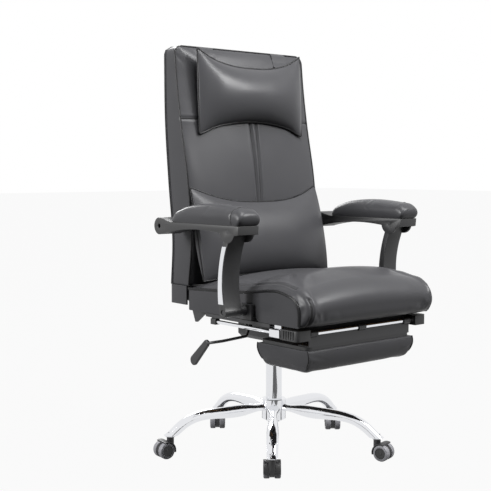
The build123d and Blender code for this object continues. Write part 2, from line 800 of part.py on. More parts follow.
rib_pitch = 9
rib_width = 3.5
rib_depth = 2
rib_count = 5
glide_length = 22
glide_half_width = 8
glide_rear = rest_rod_rear + 8
with BuildPart() as rest_blocks:
    with BuildSketch(Plane.XY.offset(rest_rod_z - corner_half_height)):
        with BuildLine():
            Polyline(
                (corner_inner_x, corner_front),
                (corner_outer_x, corner_front),
                (corner_outer_x, corner_rear),
                (rest_rod_x - 12, corner_rear),
                (corner_inner_x, corner_front + 34),
                close=True,
            )
        make_face()
    extrude(amount=2 * corner_half_height)
    fillet(rest_blocks.edges().filter_by(Axis.Z).sort_by(lambda e: e.center().X - e.center().Y)[-1], 12)
    with BuildSketch(Plane.YZ.offset(corner_outer_x)):
        with Locations(((corner_front + corner_rear) / 2, rest_rod_z)):
            with GridLocations(rib_pitch, 1, rib_count, 1):
                Rectangle(rib_pitch - rib_width, 2 * corner_half_height - 6)
    extrude(amount=-rib_depth, mode=Mode.SUBTRACT)
    with BuildSketch(Plane.XZ.offset(-glide_rear)):
        with Locations((rest_rod_x, rest_rod_z)):
            Rectangle(2 * glide_half_width, 2 * glide_half_width)
        with Locations((rest_rod_x, rest_rod_z)):
            Rectangle(
                rail_slot - 2 * part_gap,
                rail_bottom + rail_wall + 2 - rest_rod_z,
                align=(Align.CENTER, Align.MIN),
            )
        with Locations((rest_rod_x, rail_bottom + rail_wall + part_gap)):
            Rectangle(
                rail_width - 2 * rail_wall - 2 * part_gap,
                rail_height - 2 * rail_wall - 2 * part_gap,
                align=(Align.CENTER, Align.MIN),
            )
    extrude(amount=glide_length)
    mirror(about=Plane.YZ)
    add(rest_rods.part, mode=Mode.SUBTRACT)
save(rest_blocks, "rest_blocks")

# Hinge sheet: knuckles round the cross rod, a hanging leaf and a foot on the pad's board
knuckle_radius = 9
knuckle_length = 26
with BuildPart() as rest_sheet_part:
    with BuildSketch(Plane.XZ.offset(-rest_cross_y - rest_sheet / 2)):
        with Locations((0, rest_board_top)):
            Rectangle(
                2 * rest_sheet_half_width,
                rest_rod_z - rest_cross_radius - part_gap - rest_board_top,
                align=(Align.CENTER, Align.MIN),
            )
    extrude(amount=rest_sheet)
    with BuildSketch(Plane.XY.offset(rest_board_top)):
        with Locations((0, rest_cross_y)):
            Rectangle(2 * rest_sheet_half_width, 40, align=(Align.CENTER, Align.MIN))
    extrude(amount=rest_sheet)
    for x in (-rest_sheet_half_width, -knuckle_length / 2, rest_sheet_half_width - knuckle_length):
        with BuildSketch(Plane.YZ.offset(x)):
            with Locations((rest_cross_y, rest_rod_z)):
                Circle(knuckle_radius)
        extrude(amount=knuckle_length)
    with BuildSketch(Plane.YZ.offset(-rest_sheet_half_width)):
        with Locations((rest_cross_y, rest_rod_z)):
            Circle(rest_cross_radius + run_gap)
    extrude(amount=2 * rest_sheet_half_width, mode=Mode.SUBTRACT)
save(rest_sheet_part, "rest_hinge_sheet")

rest_length = rest_rear - rest_front
rest_mid = (rest_rear + rest_front) / 2
with BuildPart() as rest_board:
    with BuildSketch(Plane.XY.offset(rest_board_top - rest_board_thickness)):
        with Locations((0, rest_mid)):
            RectangleRounded(2 * rest_half_width - 8, rest_length - 8, 18)
    extrude(amount=rest_board_thickness)
save(rest_board, "rest_board")

# Footrest cushion: stored soft side down, crowned, with drawn-in sides
rest_pad_top = rest_board_top - rest_board_thickness - soft_gap
rest_pad_foot = rest_pad_top - rest_pad_thickness
rest_stations = (
    (rest_half_width, 9, 5),
    (rest_half_width - 9, 2, 1),
    (rest_half_width * 0.6, 0, 0),
    (0, -2, 0),
)


def rest_profile(lift, inset):
    """Side profile of the footrest cushion, flat on its board above."""
    front = rest_front + inset
    rear = rest_rear - inset
    low = rest_pad_foot + lift
    Line((rear, rest_pad_top), (front, rest_pad_top))
    ThreePointArc((front, rest_pad_top), (front - 5, (low + rest_pad_top) / 2), (front + 8, low + 6))
    ThreePointArc((front + 8, low + 6), (rest_mid, low - 2), (rear - 14, low + 7))
    ThreePointArc((rear - 14, low + 7), (rear + 3, (low + rest_pad_top) / 2 + 2), (rear, rest_pad_top))


with BuildPart() as rest_cushion:
    for x, lift, inset in both_sides(rest_stations):
        with BuildSketch(Plane.YZ.offset(x)):
            with BuildLine():
                rest_profile(lift, inset)
            make_face()
    loft()
save(rest_cushion, "rest_cushion")

# Back, built round its rear line: two arcs in side view, shifted forward for each layer
back_height = back_top - back_foot
hollow_z = back_foot + 0.197 * back_height
mid_z = back_foot + 0.447 * back_height
bulge_z = back_foot + 0.7 * back_height
shoulder_z = back_foot + 0.87 * back_height
rear_foot_y = 176
rear_hollow_y = 168
rear_mid_y = 187
rear_bulge_y = 203
rear_head_y = 205


def rear_arcs(depth):
    """The rear line of the back, shifted forward by depth."""
    foot = (rear_foot_y - depth, back_foot)
    middle = (rear_mid_y - depth, mid_z)
    head = (rear_head_y - depth, back_top)
    ThreePointArc(foot, (rear_hollow_y - depth, hollow_z), middle)
    ThreePointArc(middle, (rear_bulge_y - depth, bulge_z), head)


def back_layer(near, far):
    """Outline between two depths from the rear line."""
    rear_arcs(near)
    Line((rear_head_y - near, back_top), (rear_head_y - far, back_top))
    rear_arcs(far)
    Line((rear_foot_y - near, back_foot), (rear_foot_y - far, back_foot))


# All the space behind a given depth, used to trim what lies in front of it
def behind(depth):
    with BuildPart() as space:
        with BuildSketch(Plane.YZ):
            with BuildLine():
                back_layer(-120, depth)
            make_face()
        extrude(amount=2 * back_half_width, both=True)
    return space.part


board_depth = back_skin + back_board
board_head = back_top - 25
with BuildPart() as back_board_part:
    with BuildSketch(Plane.YZ):
        with BuildLine():
            back_layer(back_skin, board_depth)
        make_face()
    extrude(amount=back_board_half_width, both=True)
    with BuildSketch(Plane.XY.offset(board_head)):
        Rectangle(4 * back_half_width, 4 * back_half_width)
    extrude(amount=60, mode=Mode.SUBTRACT)
save(back_board_part, "back_board")

# Rear cover: upholstered rear panel, with a skirt round the hinge below it
cover_rear = rear_foot_y + 1
cover_front = 96
with BuildPart() as back_cover:
    with BuildSketch(Plane.YZ):
        with BuildLine():
            back_layer(0, back_skin)
        make_face()
    extrude(amount=back_half_width - 1, both=True)
    with BuildSketch(Plane.XY.offset(cover_foot)):
        with Locations((0, cover_rear)):
            Rectangle(2 * back_half_width, cover_rear - cover_front, align=(Align.CENTER, Align.MAX))
        with Locations((0, cover_rear - cover_wall)):
            Rectangle(
                2 * (back_half_width - cover_wall),
                cover_rear,
                align=(Align.CENTER, Align.MAX),
                mode=Mode.SUBTRACT,
            )
    extrude(amount=back_foot - cover_foot)
save(back_cover, "back_cover")

# Hinge plates of the back, outside the seat's brackets, with hinge pins and the studs for the arms
plate_inner = bracket_inner + hinge_plate_thickness + part_gap
plate_outer = plate_inner + hinge_plate_thickness
plate_head = arm_rear_pivot[1] + 34
stud_radius = 6
stud_end = tray_inner_x + tray_width - 14
with BuildPart() as back_plates:
    with BuildSketch(Plane.YZ.offset(plate_inner)):
        with BuildLine():
            Polyline(
                (hinge_y - hinge_boss_radius, hinge_z),
                (hinge_y + hinge_boss_radius, hinge_z),
                (rear_foot_y, back_foot + 12),
                (rear_foot_y, plate_head),
                (arm_rear_pivot[0] + 24, plate_head),
                (arm_rear_pivot[0], arm_rear_pivot[1] + 16),
                (arm_rear_pivot[0], arm_rear_pivot[1] - 16),
                (hinge_y + 2, arm_rear_pivot[1] - 46),
                (hinge_y + 2, hinge_z + 60),
                close=True,
            )
        make_face()
        with Locations((hinge_y, hinge_z)):
            Circle(hinge_boss_radius)
        with Locations(arm_rear_pivot):
            Circle(16)
    extrude(amount=hinge_plate_thickness)
    add(behind(board_depth), mode=Mode.SUBTRACT)
    with BuildSketch(Plane.YZ.offset(bracket_inner - 3)):
        with Locations((hinge_y, hinge_z)):
            Circle(hinge_pin_radius)
    extrude(amount=plate_inner - bracket_inner + 3)
    with BuildSketch(Plane.YZ.offset(plate_outer)):
        with Locations(arm_rear_pivot):
            Circle(stud_radius)
    extrude(amount=stud_end - plate_outer)
    mirror(about=Plane.YZ)
save(back_plates, "back_plates")

# Back cushion: crowned front, boxed border, wrapped round the board
back_stations = (
    (back_foot, 92, 3),
    (hollow_z, 77, 4),
    (mid_z, 93, 9),
    (bulge_z, 127, 15),
    (shoulder_z, 145, 13),
    (back_top, 155, 6),
)
groove_foot = back_foot + 0.368 * back_height
groove_head = back_foot + 0.693 * back_height
slot_low = plate_inner - 1
slot_wide = hinge_plate_thickness + 2
with BuildPart() as back_cushion:
    for z, border, crown in back_stations:
        half = back_half_width
        deep = rear_head_y + 20
        with BuildSketch(Plane.XY.offset(z)):
            with BuildLine():
                Polyline((half, border), (half, deep), (-half, deep), (-half, border))
                ThreePointArc((-half, border), (0, border - crown), (half, border))
            make_face()
    loft()
    fillet(back_cushion.faces().sort_by(Axis.Z)[-1].edges(), back_edge_radius)
    add(behind(back_skin + soft_gap), mode=Mode.SUBTRACT)
    with BuildSketch(Plane.YZ):
        with BuildLine():
            back_layer(back_skin - 2, board_depth + soft_gap)
        make_face()
        with Locations((0, board_head + soft_gap)):
            Rectangle(900, 4000, align=(Align.CENTER, Align.MAX), mode=Mode.INTERSECT)
    extrude(amount=back_board_half_width + soft_gap, both=True, mode=Mode.SUBTRACT)
    for side in (-1, 1):
        with BuildSketch(Plane.XY.offset(back_foot - 2)):
            with Locations((side * (slot_low + slot_wide / 2), arm_rear_pivot[0] - 17)):
                Rectangle(slot_wide, 120, align=(Align.CENTER, Align.MIN))
        extrude(amount=plate_head + 2 - back_foot + 2, mode=Mode.SUBTRACT)
    with BuildSketch(Plane.YZ.offset(-back_half_width - 5)):
        with Locations(arm_rear_pivot):
            Circle(stud_radius + soft_gap)
    extrude(amount=back_half_width + 5 - plate_inner, mode=Mode.SUBTRACT)
    with BuildSketch(Plane.YZ.offset(back_half_width + 5)):
        with Locations(arm_rear_pivot):
            Circle(stud_radius + soft_gap)
    extrude(amount=-(back_half_width + 5 - plate_inner), mode=Mode.SUBTRACT)
    with BuildSketch(Plane.YZ):
        with BuildLine():
            Polyline((76, groove_foot), (107, groove_head), (117, groove_head), (86, groove_foot), close=True)
        make_face()
    extrude(amount=2.5, both=True, mode=Mode.SUBTRACT)
save(back_cushion, "back_cushion")


def pillow(stations):
    """Knife-edged pillow: each station is x, top seam, bottom seam, front swell, rear swell."""
    with BuildPart() as cushion:
        for x, top, foot, front, rear in both_sides(stations):
            middle_y = (top[0] + foot[0]) / 2
            middle_z = (top[1] + foot[1]) / 2
            with BuildSketch(Plane.YZ.offset(x)):
                with BuildLine():
                    ThreePointArc(top, (middle_y - front, middle_z - 0.1 * front), foot)
                    ThreePointArc(foot, (middle_y + rear, middle_z), top)
                make_face()
        loft()
    return cushion


lumbar_half_width = 240
lumbar_cushion = pillow((
    (lumbar_half_width, (85.2, 789), (46.2, 524), 4, 3),
    (lumbar_half_width - 18, (82.2, 781), (46.2, 525), 22, 6),
    (lumbar_half_width - 70, (77.2, 763), (45.2, 529), 45, 9),
    (lumbar_half_width * 0.4, (72.2, 749), (44.2, 533), 56, 10),
    (0, (70.2, 745), (43.2, 534), 58, 10),
))
save(lumbar_cushion, "lumbar_cushion")

head_half_width = 201
head_pillow = pillow((
    (head_half_width, (111, back_top - 14), (100, back_top - 244), 4, 3),
    (head_half_width - 16, (109, back_top - 19), (98, back_top - 239), 18, 5),
    (head_half_width - 60, (107, back_top - 33), (95, back_top - 222), 36, 7),
    (head_half_width * 0.35, (105, back_top - 43), (92, back_top - 209), 44, 8),
    (0, (105, back_top - 45), (92, back_top - 205), 46, 8),
))
save(head_pillow, "head_pillow")

# Straps of the head pillow, over the top of the back and down behind it
strap_x = 140
strap_width = 28
strap_thickness = 2
strap_lift = back_top + soft_gap + strap_thickness / 2
strap_rear = rear_head_y + 6
with BuildPart() as head_straps:
    with BuildSketch(Plane.YZ.offset(strap_x - strap_width / 2)):
        with BuildLine():
            Polyline(
                (107.5, back_top - 29.5),
                (132, strap_lift),
                (rear_head_y + 3, strap_lift),
                (strap_rear, back_top - 5),
                (strap_rear + 0.5, back_top - 110),
            )
        trace(line_width=strap_thickness)
    extrude(amount=strap_width)
    mirror(about=Plane.YZ)
save(head_straps, "head_straps")

# Arm posts: flat bars bowed backwards, with a boss at each pivot
post_mid_z = post_foot_pivot[1] + (post_head_pivot[1] - post_foot_pivot[1]) * 92 / 216
post_mid_y = -170.5


def post_outline(trim):
    """Bowed outline of a post in side view, drawn in by trim."""
    foot_y, foot_z = post_foot_pivot
    head_y, head_z = post_head_pivot
    foot = post_foot_boss - trim
    head = post_head_boss - trim
    mid = post_depth / 2 - trim
    ThreePointArc((foot_y + foot, foot_z), (post_mid_y + mid, post_mid_z), (head_y + head, head_z))
    Line((head_y + head, head_z), (head_y - head, head_z))
    ThreePointArc((head_y - head, head_z), (post_mid_y - mid, post_mid_z), (foot_y - foot, foot_z))
    Line((foot_y - foot, foot_z), (foot_y + foot, foot_z))


with BuildPart() as arm_post_left:
    with BuildSketch(Plane.YZ.offset(post_inner_x)):
        with BuildLine():
            post_outline(0)
        make_face()
        with Locations(post_foot_pivot):
            Circle(post_foot_boss)
        with Locations(post_head_pivot):
            Circle(post_head_boss)
        with Locations(post_foot_pivot, post_head_pivot):
            Circle(pivot_pin_radius + run_gap, mode=Mode.SUBTRACT)
    extrude(amount=post_width)
    with BuildSketch(Plane.YZ.offset(post_outer_x)):
        with Locations(post_foot_pivot):
            Circle(foot_head_radius + part_gap)
    extrude(amount=-post_sink, mode=Mode.SUBTRACT)
save(arm_post_left, "arm_post_left")
arm_post_right = mirrored(arm_post_left)
save(arm_post_right, "arm_post_right")

with BuildPart() as post_trim_left:
    with BuildSketch(Plane.YZ.offset(post_outer_x)):
        with BuildLine():
            post_outline(2)
        make_face()
        with Locations((post_mid_y, trim_foot)):
            Rectangle(200, trim_head - trim_foot, align=(Align.CENTER, Align.MIN), mode=Mode.INTERSECT)
    extrude(amount=trim_thickness)
save(post_trim_left, "post_trim_left")
post_trim_right = mirrored(post_trim_left)
save(post_trim_right, "post_trim_right")

# Arm trays: arched shells with round cheeks beside the post's head and a lug on the back's stud
pocket_gap = 0.5
pocket_front = post_head_pivot[0] - 40
pocket_rear = post_head_pivot[0] + cheek_radius + 2
pocket_foot = post_head_pivot[1] - cheek_radius - 2
pocket_head = post_head_pivot[1] + post_head_boss + 1
arch_front = (post_head_pivot[0] + cheek_radius, tray_bottom + 4)
arch_middle = ((arch_front[0] + arm_rear_pivot[0]) / 2 - 20, tray_bottom + 9)
lug_foot = (arm_rear_pivot[0], arm_rear_pivot[1] - lug_radius)
lug_head = (arm_rear_pivot[0], arm_rear_pivot[1] + lug_radius)
tray_outer_x = tray_inner_x + tray_width
with BuildPart() as arm_tray_left:
    with BuildSketch(Plane.YZ.offset(tray_inner_x)):
        with BuildLine():
            Polyline(
                (tray_rear, tray_top),
                (tray_front, tray_top),
                (tray_front + 2, tray_bottom + 2),
                (tray_front + 12, tray_bottom),
                arch_front,
            )
            ThreePointArc(arch_front, arch_middle, lug_foot)
            Polyline(lug_foot, lug_head, (tray_rear, tray_top))
        make_face()
        with Locations(arm_rear_pivot):
            Circle(lug_radius)
        with Locations(post_head_pivot):
            Circle(cheek_radius)
        with Locations((post_head_pivot[0], tray_top)):
            Rectangle(4 * cheek_radius, cheek_radius, align=(Align.CENTER, Align.MIN), mode=Mode.SUBTRACT)
    extrude(amount=tray_width)
    with BuildSketch(Plane.XY.offset(pocket_foot)):
        with Locations((post_inner_x + post_width / 2, (pocket_front + pocket_rear) / 2)):
            Rectangle(post_width + 2 * pocket_gap, pocket_rear - pocket_front)
    extrude(amount=pocket_head - pocket_foot, mode=Mode.SUBTRACT)
    with BuildSketch(Plane.YZ.offset(tray_inner_x)):
        with Locations(post_head_pivot):
            Circle(pivot_pin_radius)
        with Locations(arm_rear_pivot):
            Circle(stud_radius + open_gap)
    extrude(amount=tray_width, mode=Mode.SUBTRACT)
save(arm_tray_left, "arm_tray_left")
arm_tray_right = mirrored(arm_tray_left)
save(arm_tray_right, "arm_tray_right")

with BuildPart() as arm_pin_left:
    with BuildSketch(Plane.YZ.offset(tray_inner_x)):
        with Locations(post_head_pivot):
            Circle(pivot_pin_radius)
    extrude(amount=tray_width)
save(arm_pin_left, "arm_pin_left")
arm_pin_right = mirrored(arm_pin_left)
save(arm_pin_right, "arm_pin_right")

# Arm pads: upholstered, crowned, a little wider than the trays
pad_foot = tray_top + soft_gap
pad_overhang = 3
pad_half = tray_width / 2 + pad_overhang
pad_mid_x = tray_inner_x + tray_width / 2
pad_stations = (
    (pad_half, -16, 5),
    (pad_half - 6, -5, 1),
    (0, pad_crown, 0),
)


def pad_profile(lift, inset):
    """Side profile of an arm pad, flat below."""
    front = pad_front + inset
    rear = pad_rear - inset
    top = pad_foot + pad_height + lift
    Line((rear, pad_foot), (front + 10, pad_foot))
    ThreePointArc((front + 10, pad_foot), (front, pad_foot + 0.5 * pad_height), (front + 20, top - 6))
    ThreePointArc((front + 20, top - 6), ((front + rear) / 2 - 20, top + 2), (rear - 14, top - 19))
    ThreePointArc((rear - 14, top - 19), (rear - 2, pad_foot + 0.45 * pad_height), (rear, pad_foot))


with BuildPart() as arm_pad_left:
    for x, lift, inset in both_sides(pad_stations):
        with BuildSketch(Plane.YZ.offset(pad_mid_x + x)):
            with BuildLine():
                pad_profile(lift, inset)
            make_face()
    loft()
save(arm_pad_left, "arm_pad_left")
arm_pad_right = mirrored(arm_pad_left)
save(arm_pad_right, "arm_pad_right")
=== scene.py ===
"""Looks of the reclining office chair: upholstery, finishes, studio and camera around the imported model."""

import json
import logging
import math
from dataclasses import dataclass, field
from enum import Enum
from typing import Iterable, Sequence

import bmesh
import bpy
from mathutils import Matrix, Vector
from mathutils.bvhtree import BVHTree


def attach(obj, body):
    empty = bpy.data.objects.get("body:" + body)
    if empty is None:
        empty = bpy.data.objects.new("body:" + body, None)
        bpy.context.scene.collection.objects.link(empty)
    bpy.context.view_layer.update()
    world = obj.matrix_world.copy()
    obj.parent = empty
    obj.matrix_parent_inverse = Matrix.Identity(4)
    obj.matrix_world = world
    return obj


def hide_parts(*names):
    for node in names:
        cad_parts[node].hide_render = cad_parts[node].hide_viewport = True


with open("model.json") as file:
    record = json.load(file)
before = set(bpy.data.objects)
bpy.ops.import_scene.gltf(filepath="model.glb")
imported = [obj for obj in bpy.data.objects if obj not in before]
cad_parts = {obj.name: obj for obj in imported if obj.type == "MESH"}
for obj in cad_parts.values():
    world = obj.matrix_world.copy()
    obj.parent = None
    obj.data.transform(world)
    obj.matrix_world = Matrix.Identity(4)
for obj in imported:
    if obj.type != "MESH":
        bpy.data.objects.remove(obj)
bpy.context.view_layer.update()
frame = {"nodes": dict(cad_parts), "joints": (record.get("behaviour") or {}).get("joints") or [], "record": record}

logging.basicConfig(level=logging.INFO, format="%(levelname)s %(message)s")
log = logging.getLogger("chair")

MM = 0.001


class Side(Enum):
    """The two sides of the chair, by the sign of X."""

    LEFT = 1
    RIGHT = -1

    @property
    def word(self) -> str:
        """The side as it stands in piece names."""
        return self.name.lower()


class Slot(Enum):
    """Material slots of the record."""

    CHROME = "chrome"
    STEEL = "steel"
    BLACK_STEEL = "black_steel"
    BLACK_PLASTIC = "black_plastic"
    WHEEL = "wheel"
    BOARD = "board"
    LEATHER = "leather"


def linear(code: str) -> tuple[float, float, float, float]:
    """Turns an sRGB hex colour into the linear values that shaders take.

    Args:
        code: Six hex digits, red first.

    Returns:
        Linear red, green, blue and an alpha of 1.
    """
    parts = [int(code[i : i + 2], 16) / 255 for i in (0, 2, 4)]
    red, green, blue = [p / 12.92 if p <= 0.04045 else ((p + 0.055) / 1.055) ** 2.4 for p in parts]
    return red, green, blue, 1.0


def add_node(tree: bpy.types.NodeTree, kind: str, inputs: dict | None = None, **settings) -> bpy.types.Node:
    """Adds a node, sets its options and fills or links its inputs.

    Args:
        tree: The node tree that takes the node.
        kind: Node type, such as ShaderNodeBump.
        inputs: Socket name or number to a value, or to an output socket to link.
        settings: Node properties by name.

    Returns:
        The new node.
    """
    node = tree.nodes.new(kind)
    for name, value in settings.items():
        setattr(node, name, value)
    for key, value in (inputs or {}).items():
        if isinstance(value, bpy.types.NodeSocket):
            tree.links.new(value, node.inputs[key])
        else:
            node.inputs[key].default_value = value
    return node


@dataclass(frozen=True)
class Finish:
    """A surface finish; each kind of material says how its shader is built."""

    name: str
    colour: str
    roughness: float

    def material(self) -> bpy.types.Material:
        """The finish as a material, made once."""
        found = bpy.data.materials.get(self.name)
        if found:
            return found
        made = bpy.data.materials.new(self.name)
        made.use_nodes = True
        made.node_tree.nodes.clear()
        surface = self.shade(made.node_tree)
        add_node(made.node_tree, "ShaderNodeOutputMaterial", {"Surface": surface})
        return made

    def shade(self, tree: bpy.types.NodeTree) -> bpy.types.NodeSocket:
        """Builds the shader and returns its output."""
        raise NotImplementedError

    def place(self, tree: bpy.types.NodeTree) -> bpy.types.NodeSocket:
        """Object coordinates, in metres."""
        return add_node(tree, "ShaderNodeTexCoord").outputs["Object"]


@dataclass(frozen=True)
class Leather(Finish):
    """Coated leather: a fine pebble grain breaks up its soft sheen, and wear varies the gloss a little."""

    grain_mm: float = 1.6
    grain_depth: float = 0.16
    patch_mm: float = 55.0

    def shade(self, tree: bpy.types.NodeTree) -> bpy.types.NodeSocket:
        """Pebbled, semi-gloss coat."""
        place = self.place(tree)
        cells = add_node(
            tree,
            "ShaderNodeTexVoronoi",
            {"Vector": place, "Scale": 1 / (self.grain_mm * MM), "Randomness": 0.9},
            feature="SMOOTH_F1",
        )
        patches = add_node(
            tree,
            "ShaderNodeTexNoise",
            {"Vector": place, "Scale": 1 / (self.patch_mm * MM), "Detail": 3.0},
        )
        gloss = add_node(
            tree,
            "ShaderNodeMapRange",
            {
                "Value": patches.outputs["Fac"],
                "From Min": 0.3,
                "From Max": 0.7,
                "To Min": self.roughness - 0.05,
                "To Max": self.roughness + 0.05,
            },
        )
        bump = add_node(
            tree,
            "ShaderNodeBump",
            {"Height": cells.outputs["Distance"], "Strength": self.grain_depth, "Distance": 0.4 * MM},
            invert=True,
        )
        coat = add_node(
            tree,
            "ShaderNodeBsdfPrincipled",
            {
                "Base Color": linear(self.colour),
                "Roughness": gloss.outputs["Result"],
                "IOR": 1.5,
                "Specular IOR Level": 0.15,
                "Normal": bump.outputs["Normal"],
            },
        )
        return coat.outputs["BSDF"]


@dataclass(frozen=True)
class Plated(Finish):
    """Polished plating: mirror-like, with only a trace of haze."""

    def shade(self, tree: bpy.types.NodeTree) -> bpy.types.NodeSocket:
        """Bright metal."""
        haze = add_node(tree, "ShaderNodeTexNoise", {"Vector": self.place(tree), "Scale": 1 / (30 * MM)})
        rough = add_node(
            tree,
            "ShaderNodeMapRange",
            {"Value": haze.outputs["Fac"], "To Min": self.roughness * 0.7, "To Max": self.roughness * 1.3},
        )
        metal = add_node(
            tree,
            "ShaderNodeBsdfPrincipled",
            {"Base Color": linear(self.colour), "Metallic": 1.0, "Roughness": rough.outputs["Result"]},
        )
        return metal.outputs["BSDF"]


@dataclass(frozen=True)
class Moulded(Finish):
    """Moulded plastic: an even spark-eroded texture takes the shine off."""

    texture_mm: float = 0.5
    texture_depth: float = 0.12

    def shade(self, tree: bpy.types.NodeTree) -> bpy.types.NodeSocket:
        """Fine even texture over a plain colour."""
        grit = add_node(
            tree,
            "ShaderNodeTexNoise",
            {"Vector": self.place(tree), "Scale": 1 / (self.texture_mm * MM), "Detail": 2.0},
        )
        bump = add_node(
            tree,
            "ShaderNodeBump",
            {"Height": grit.outputs["Fac"], "Strength": self.texture_depth, "Distance": 0.15 * MM},
        )
        plastic = add_node(
            tree,
            "ShaderNodeBsdfPrincipled",
            {
                "Base Color": linear(self.colour),
                "Roughness": self.roughness,
                "IOR": 1.47,
                "Normal": bump.outputs["Normal"],
            },
        )
        return plastic.outputs["BSDF"]


@dataclass(frozen=True)
class Painted(Finish):
    """Powder-coated sheet steel: a low orange-peel over black."""

    def shade(self, tree: bpy.types.NodeTree) -> bpy.types.NodeSocket:
        """Paint with a slight orange-peel."""
        peel = add_node(
            tree, "ShaderNodeTexNoise", {"Vector": self.place(tree), "Scale": 1 / (1.8 * MM), "Detail": 1.0}
        )
        bump = add_node(
            tree, "ShaderNodeBump", {"Height": peel.outputs["Fac"], "Strength": 0.1, "Distance": 0.2 * MM}
        )
        paint = add_node(
            tree,
            "ShaderNodeBsdfPrincipled",
            {
                "Base Color": linear(self.colour),
                "Roughness": self.roughness,
                "IOR": 1.5,
                "Normal": bump.outputs["Normal"],
            },
        )
        return paint.outputs["BSDF"]


@dataclass(frozen=True)
class BareSteel(Finish):
    """Turned steel: fine grey rings of the cutting tool along the part."""

    def shade(self, tree: bpy.types.NodeTree) -> bpy.types.NodeSocket:
        """Grey metal with fine turning marks."""
        marks = add_node(
            tree,
            "ShaderNodeTexWave",
            {"Vector": self.place(tree), "Scale": 1 / (1.2 * MM) / 6.3, "Distortion": 1.5},
            bands_direction="Z",
        )
        rough = add_node(
            tree,
            "ShaderNodeMapRange",
            {"Value": marks.outputs["Fac"], "To Min": self.roughness - 0.05, "To Max": self.roughness + 0.08},
        )
        metal = add_node(
            tree,
            "ShaderNodeBsdfPrincipled",
            {"Base Color": linear(self.colour), "Metallic": 1.0, "Roughness": rough.outputs["Result"]},
        )
        return metal.outputs["BSDF"]


@dataclass(frozen=True)
class Plywood(Finish):
    """Birch ply: pale wood with long drawn-out grain lines."""

    dark: str = "a5794a"

    def shade(self, tree: bpy.types.NodeTree) -> bpy.types.NodeSocket:
        """Grain lines that run along Y, a few millimetres apart."""
        grain = add_node(
            tree, "ShaderNodeMapping", {"Vector": self.place(tree), "Scale": (1.0, 0.06, 1.0)}
        )
        lines = add_node(
            tree,
            "ShaderNodeTexNoise",
            {"Vector": grain.outputs["Vector"], "Scale": 1 / (4 * MM), "Detail": 4.0},
        )
        colour = add_node(
            tree,
            "ShaderNodeMix",
            {0: lines.outputs["Fac"], 6: linear(self.colour), 7: linear(self.dark)},
            data_type="RGBA",
        )
        wood = add_node(
            tree,
            "ShaderNodeBsdfPrincipled",
            {"Base Color": colour.outputs[2], "Roughness": self.roughness, "IOR": 1.5},
        )
        return wood.outputs["BSDF"]


@dataclass(frozen=True)
class StudioFloor(Finish):
    """Seamless white floor: plain white to the eye and in bright metal, with a faint shadow kept."""

    white: float = 0.95

    def shade(self, tree: bpy.types.NodeTree) -> bpy.types.NodeSocket:
        """White where it is seen or mirrored, plain grey where it only lights the chair."""
        path = add_node(tree, "ShaderNodeLightPath")
        shiny = add_node(
            tree,
            "ShaderNodeMath",
            {0: path.outputs["Is Glossy Ray"], 1: path.outputs["Is Transmission Ray"]},
            operation="MAXIMUM",
        )
        seen = add_node(
            tree, "ShaderNodeMath", {0: path.outputs["Is Camera Ray"], 1: shiny.outputs[0]}, operation="MAXIMUM"
        )
        share = add_node(tree, "ShaderNodeMath", {0: seen.outputs[0], 1: self.white}, operation="MULTIPLY")
        ground = add_node(tree, "ShaderNodeBsdfDiffuse", {"Color": linear(self.colour), "Roughness": self.roughness})
        glow = add_node(tree, "ShaderNodeEmission", {"Strength": 1.0})
        both = add_node(
            tree,
            "ShaderNodeMixShader",
            {0: share.outputs[0], 1: ground.outputs["BSDF"], 2: glow.outputs["Emission"]},
        )
        return both.outputs["Shader"]


LEATHER = Leather("black_leather", "38383a", 0.34)
# Real piping of the same leather, coloured darker than the cover so the seam reads as a dark line: painted seam
# shade.
PIPING_WITH_SEAM_SHADE = Leather("black_leather_piping_painted_seam_shade", "1c1c1d", 0.28)
CHROME = Plated("bright_chrome", "e6e7ea", 0.07)
STEEL = BareSteel("turned_steel", "9a9b9e", 0.32)
BLACK_STEEL = Painted("black_powder_coat", "1b1b1d", 0.45)
BLACK_PLASTIC = Moulded("black_nylon", "1b1b1c", 0.46)
TREAD = Moulded("grey_wheel_rubber", "77777b", 0.55)
# Near-black cord laid along each pressed crease: painted shade of the groove, not a real thread.
GROOVE_SHADE_CORD = Moulded("painted_groove_shade", "0c0c0c", 0.8)
# Near-black sheet under the seat front: painted shade.
CLOTH = Moulded("black_painted_shade_sheet", "161617", 0.9)
PLY = Plywood("birch_ply", "c9a06c", 0.6)

BLACKED = ("post_bolts", "arm_pin_left", "arm_pin_right", "frame_bolts")

SLOT_FINISH = {
    Slot.CHROME: CHROME,
    Slot.STEEL: STEEL,
    Slot.BLACK_STEEL: BLACK_STEEL,
    Slot.BLACK_PLASTIC: BLACK_PLASTIC,
    Slot.WHEEL: TREAD,
    Slot.BOARD: PLY,
    Slot.LEATHER: LEATHER,
}


@dataclass(frozen=True)
class Guide:
    """A smooth line through a few measured points, read as height over distance."""

    points: tuple[tuple[float, float], ...]

    def at(self, x: float) -> float:
        """The line's height at x, level beyond its ends."""
        pts = self.points
        if x <= pts[0][0]:
            return pts[0][1]
        if x >= pts[-1][0]:
            return pts[-1][1]
        i = max(k for k in range(len(pts) - 1) if pts[k][0] <= x)
        (x0, y0), (x1, y1) = pts[i], pts[i + 1]
        step = x1 - x0
        t = (x - x0) / step
        m0 = self.slope(i) * step
        m1 = self.slope(i + 1) * step
        return (
            (2 * t**3 - 3 * t**2 + 1) * y0
            + (t**3 - 2 * t**2 + t) * m0
            + (3 * t**2 - 2 * t**3) * y1
            + (t**3 - t**2) * m1
        )

    def slope(self, i: int) -> float:
        """Slope at point i, from its neighbours."""
        a = self.points[max(i - 1, 0)]
        b = self.points[min(i + 1, len(self.points) - 1)]
        return (b[1] - a[1]) / (b[0] - a[0])


def round_over(distance: float, radius: float) -> float:
    """How far a rounded edge has fallen, as a share of its radius, at a distance from that edge."""
    if distance >= radius:
        return 0.0
    return 1 - math.sqrt(max(0.0, 1 - (1 - distance / radius) ** 2))


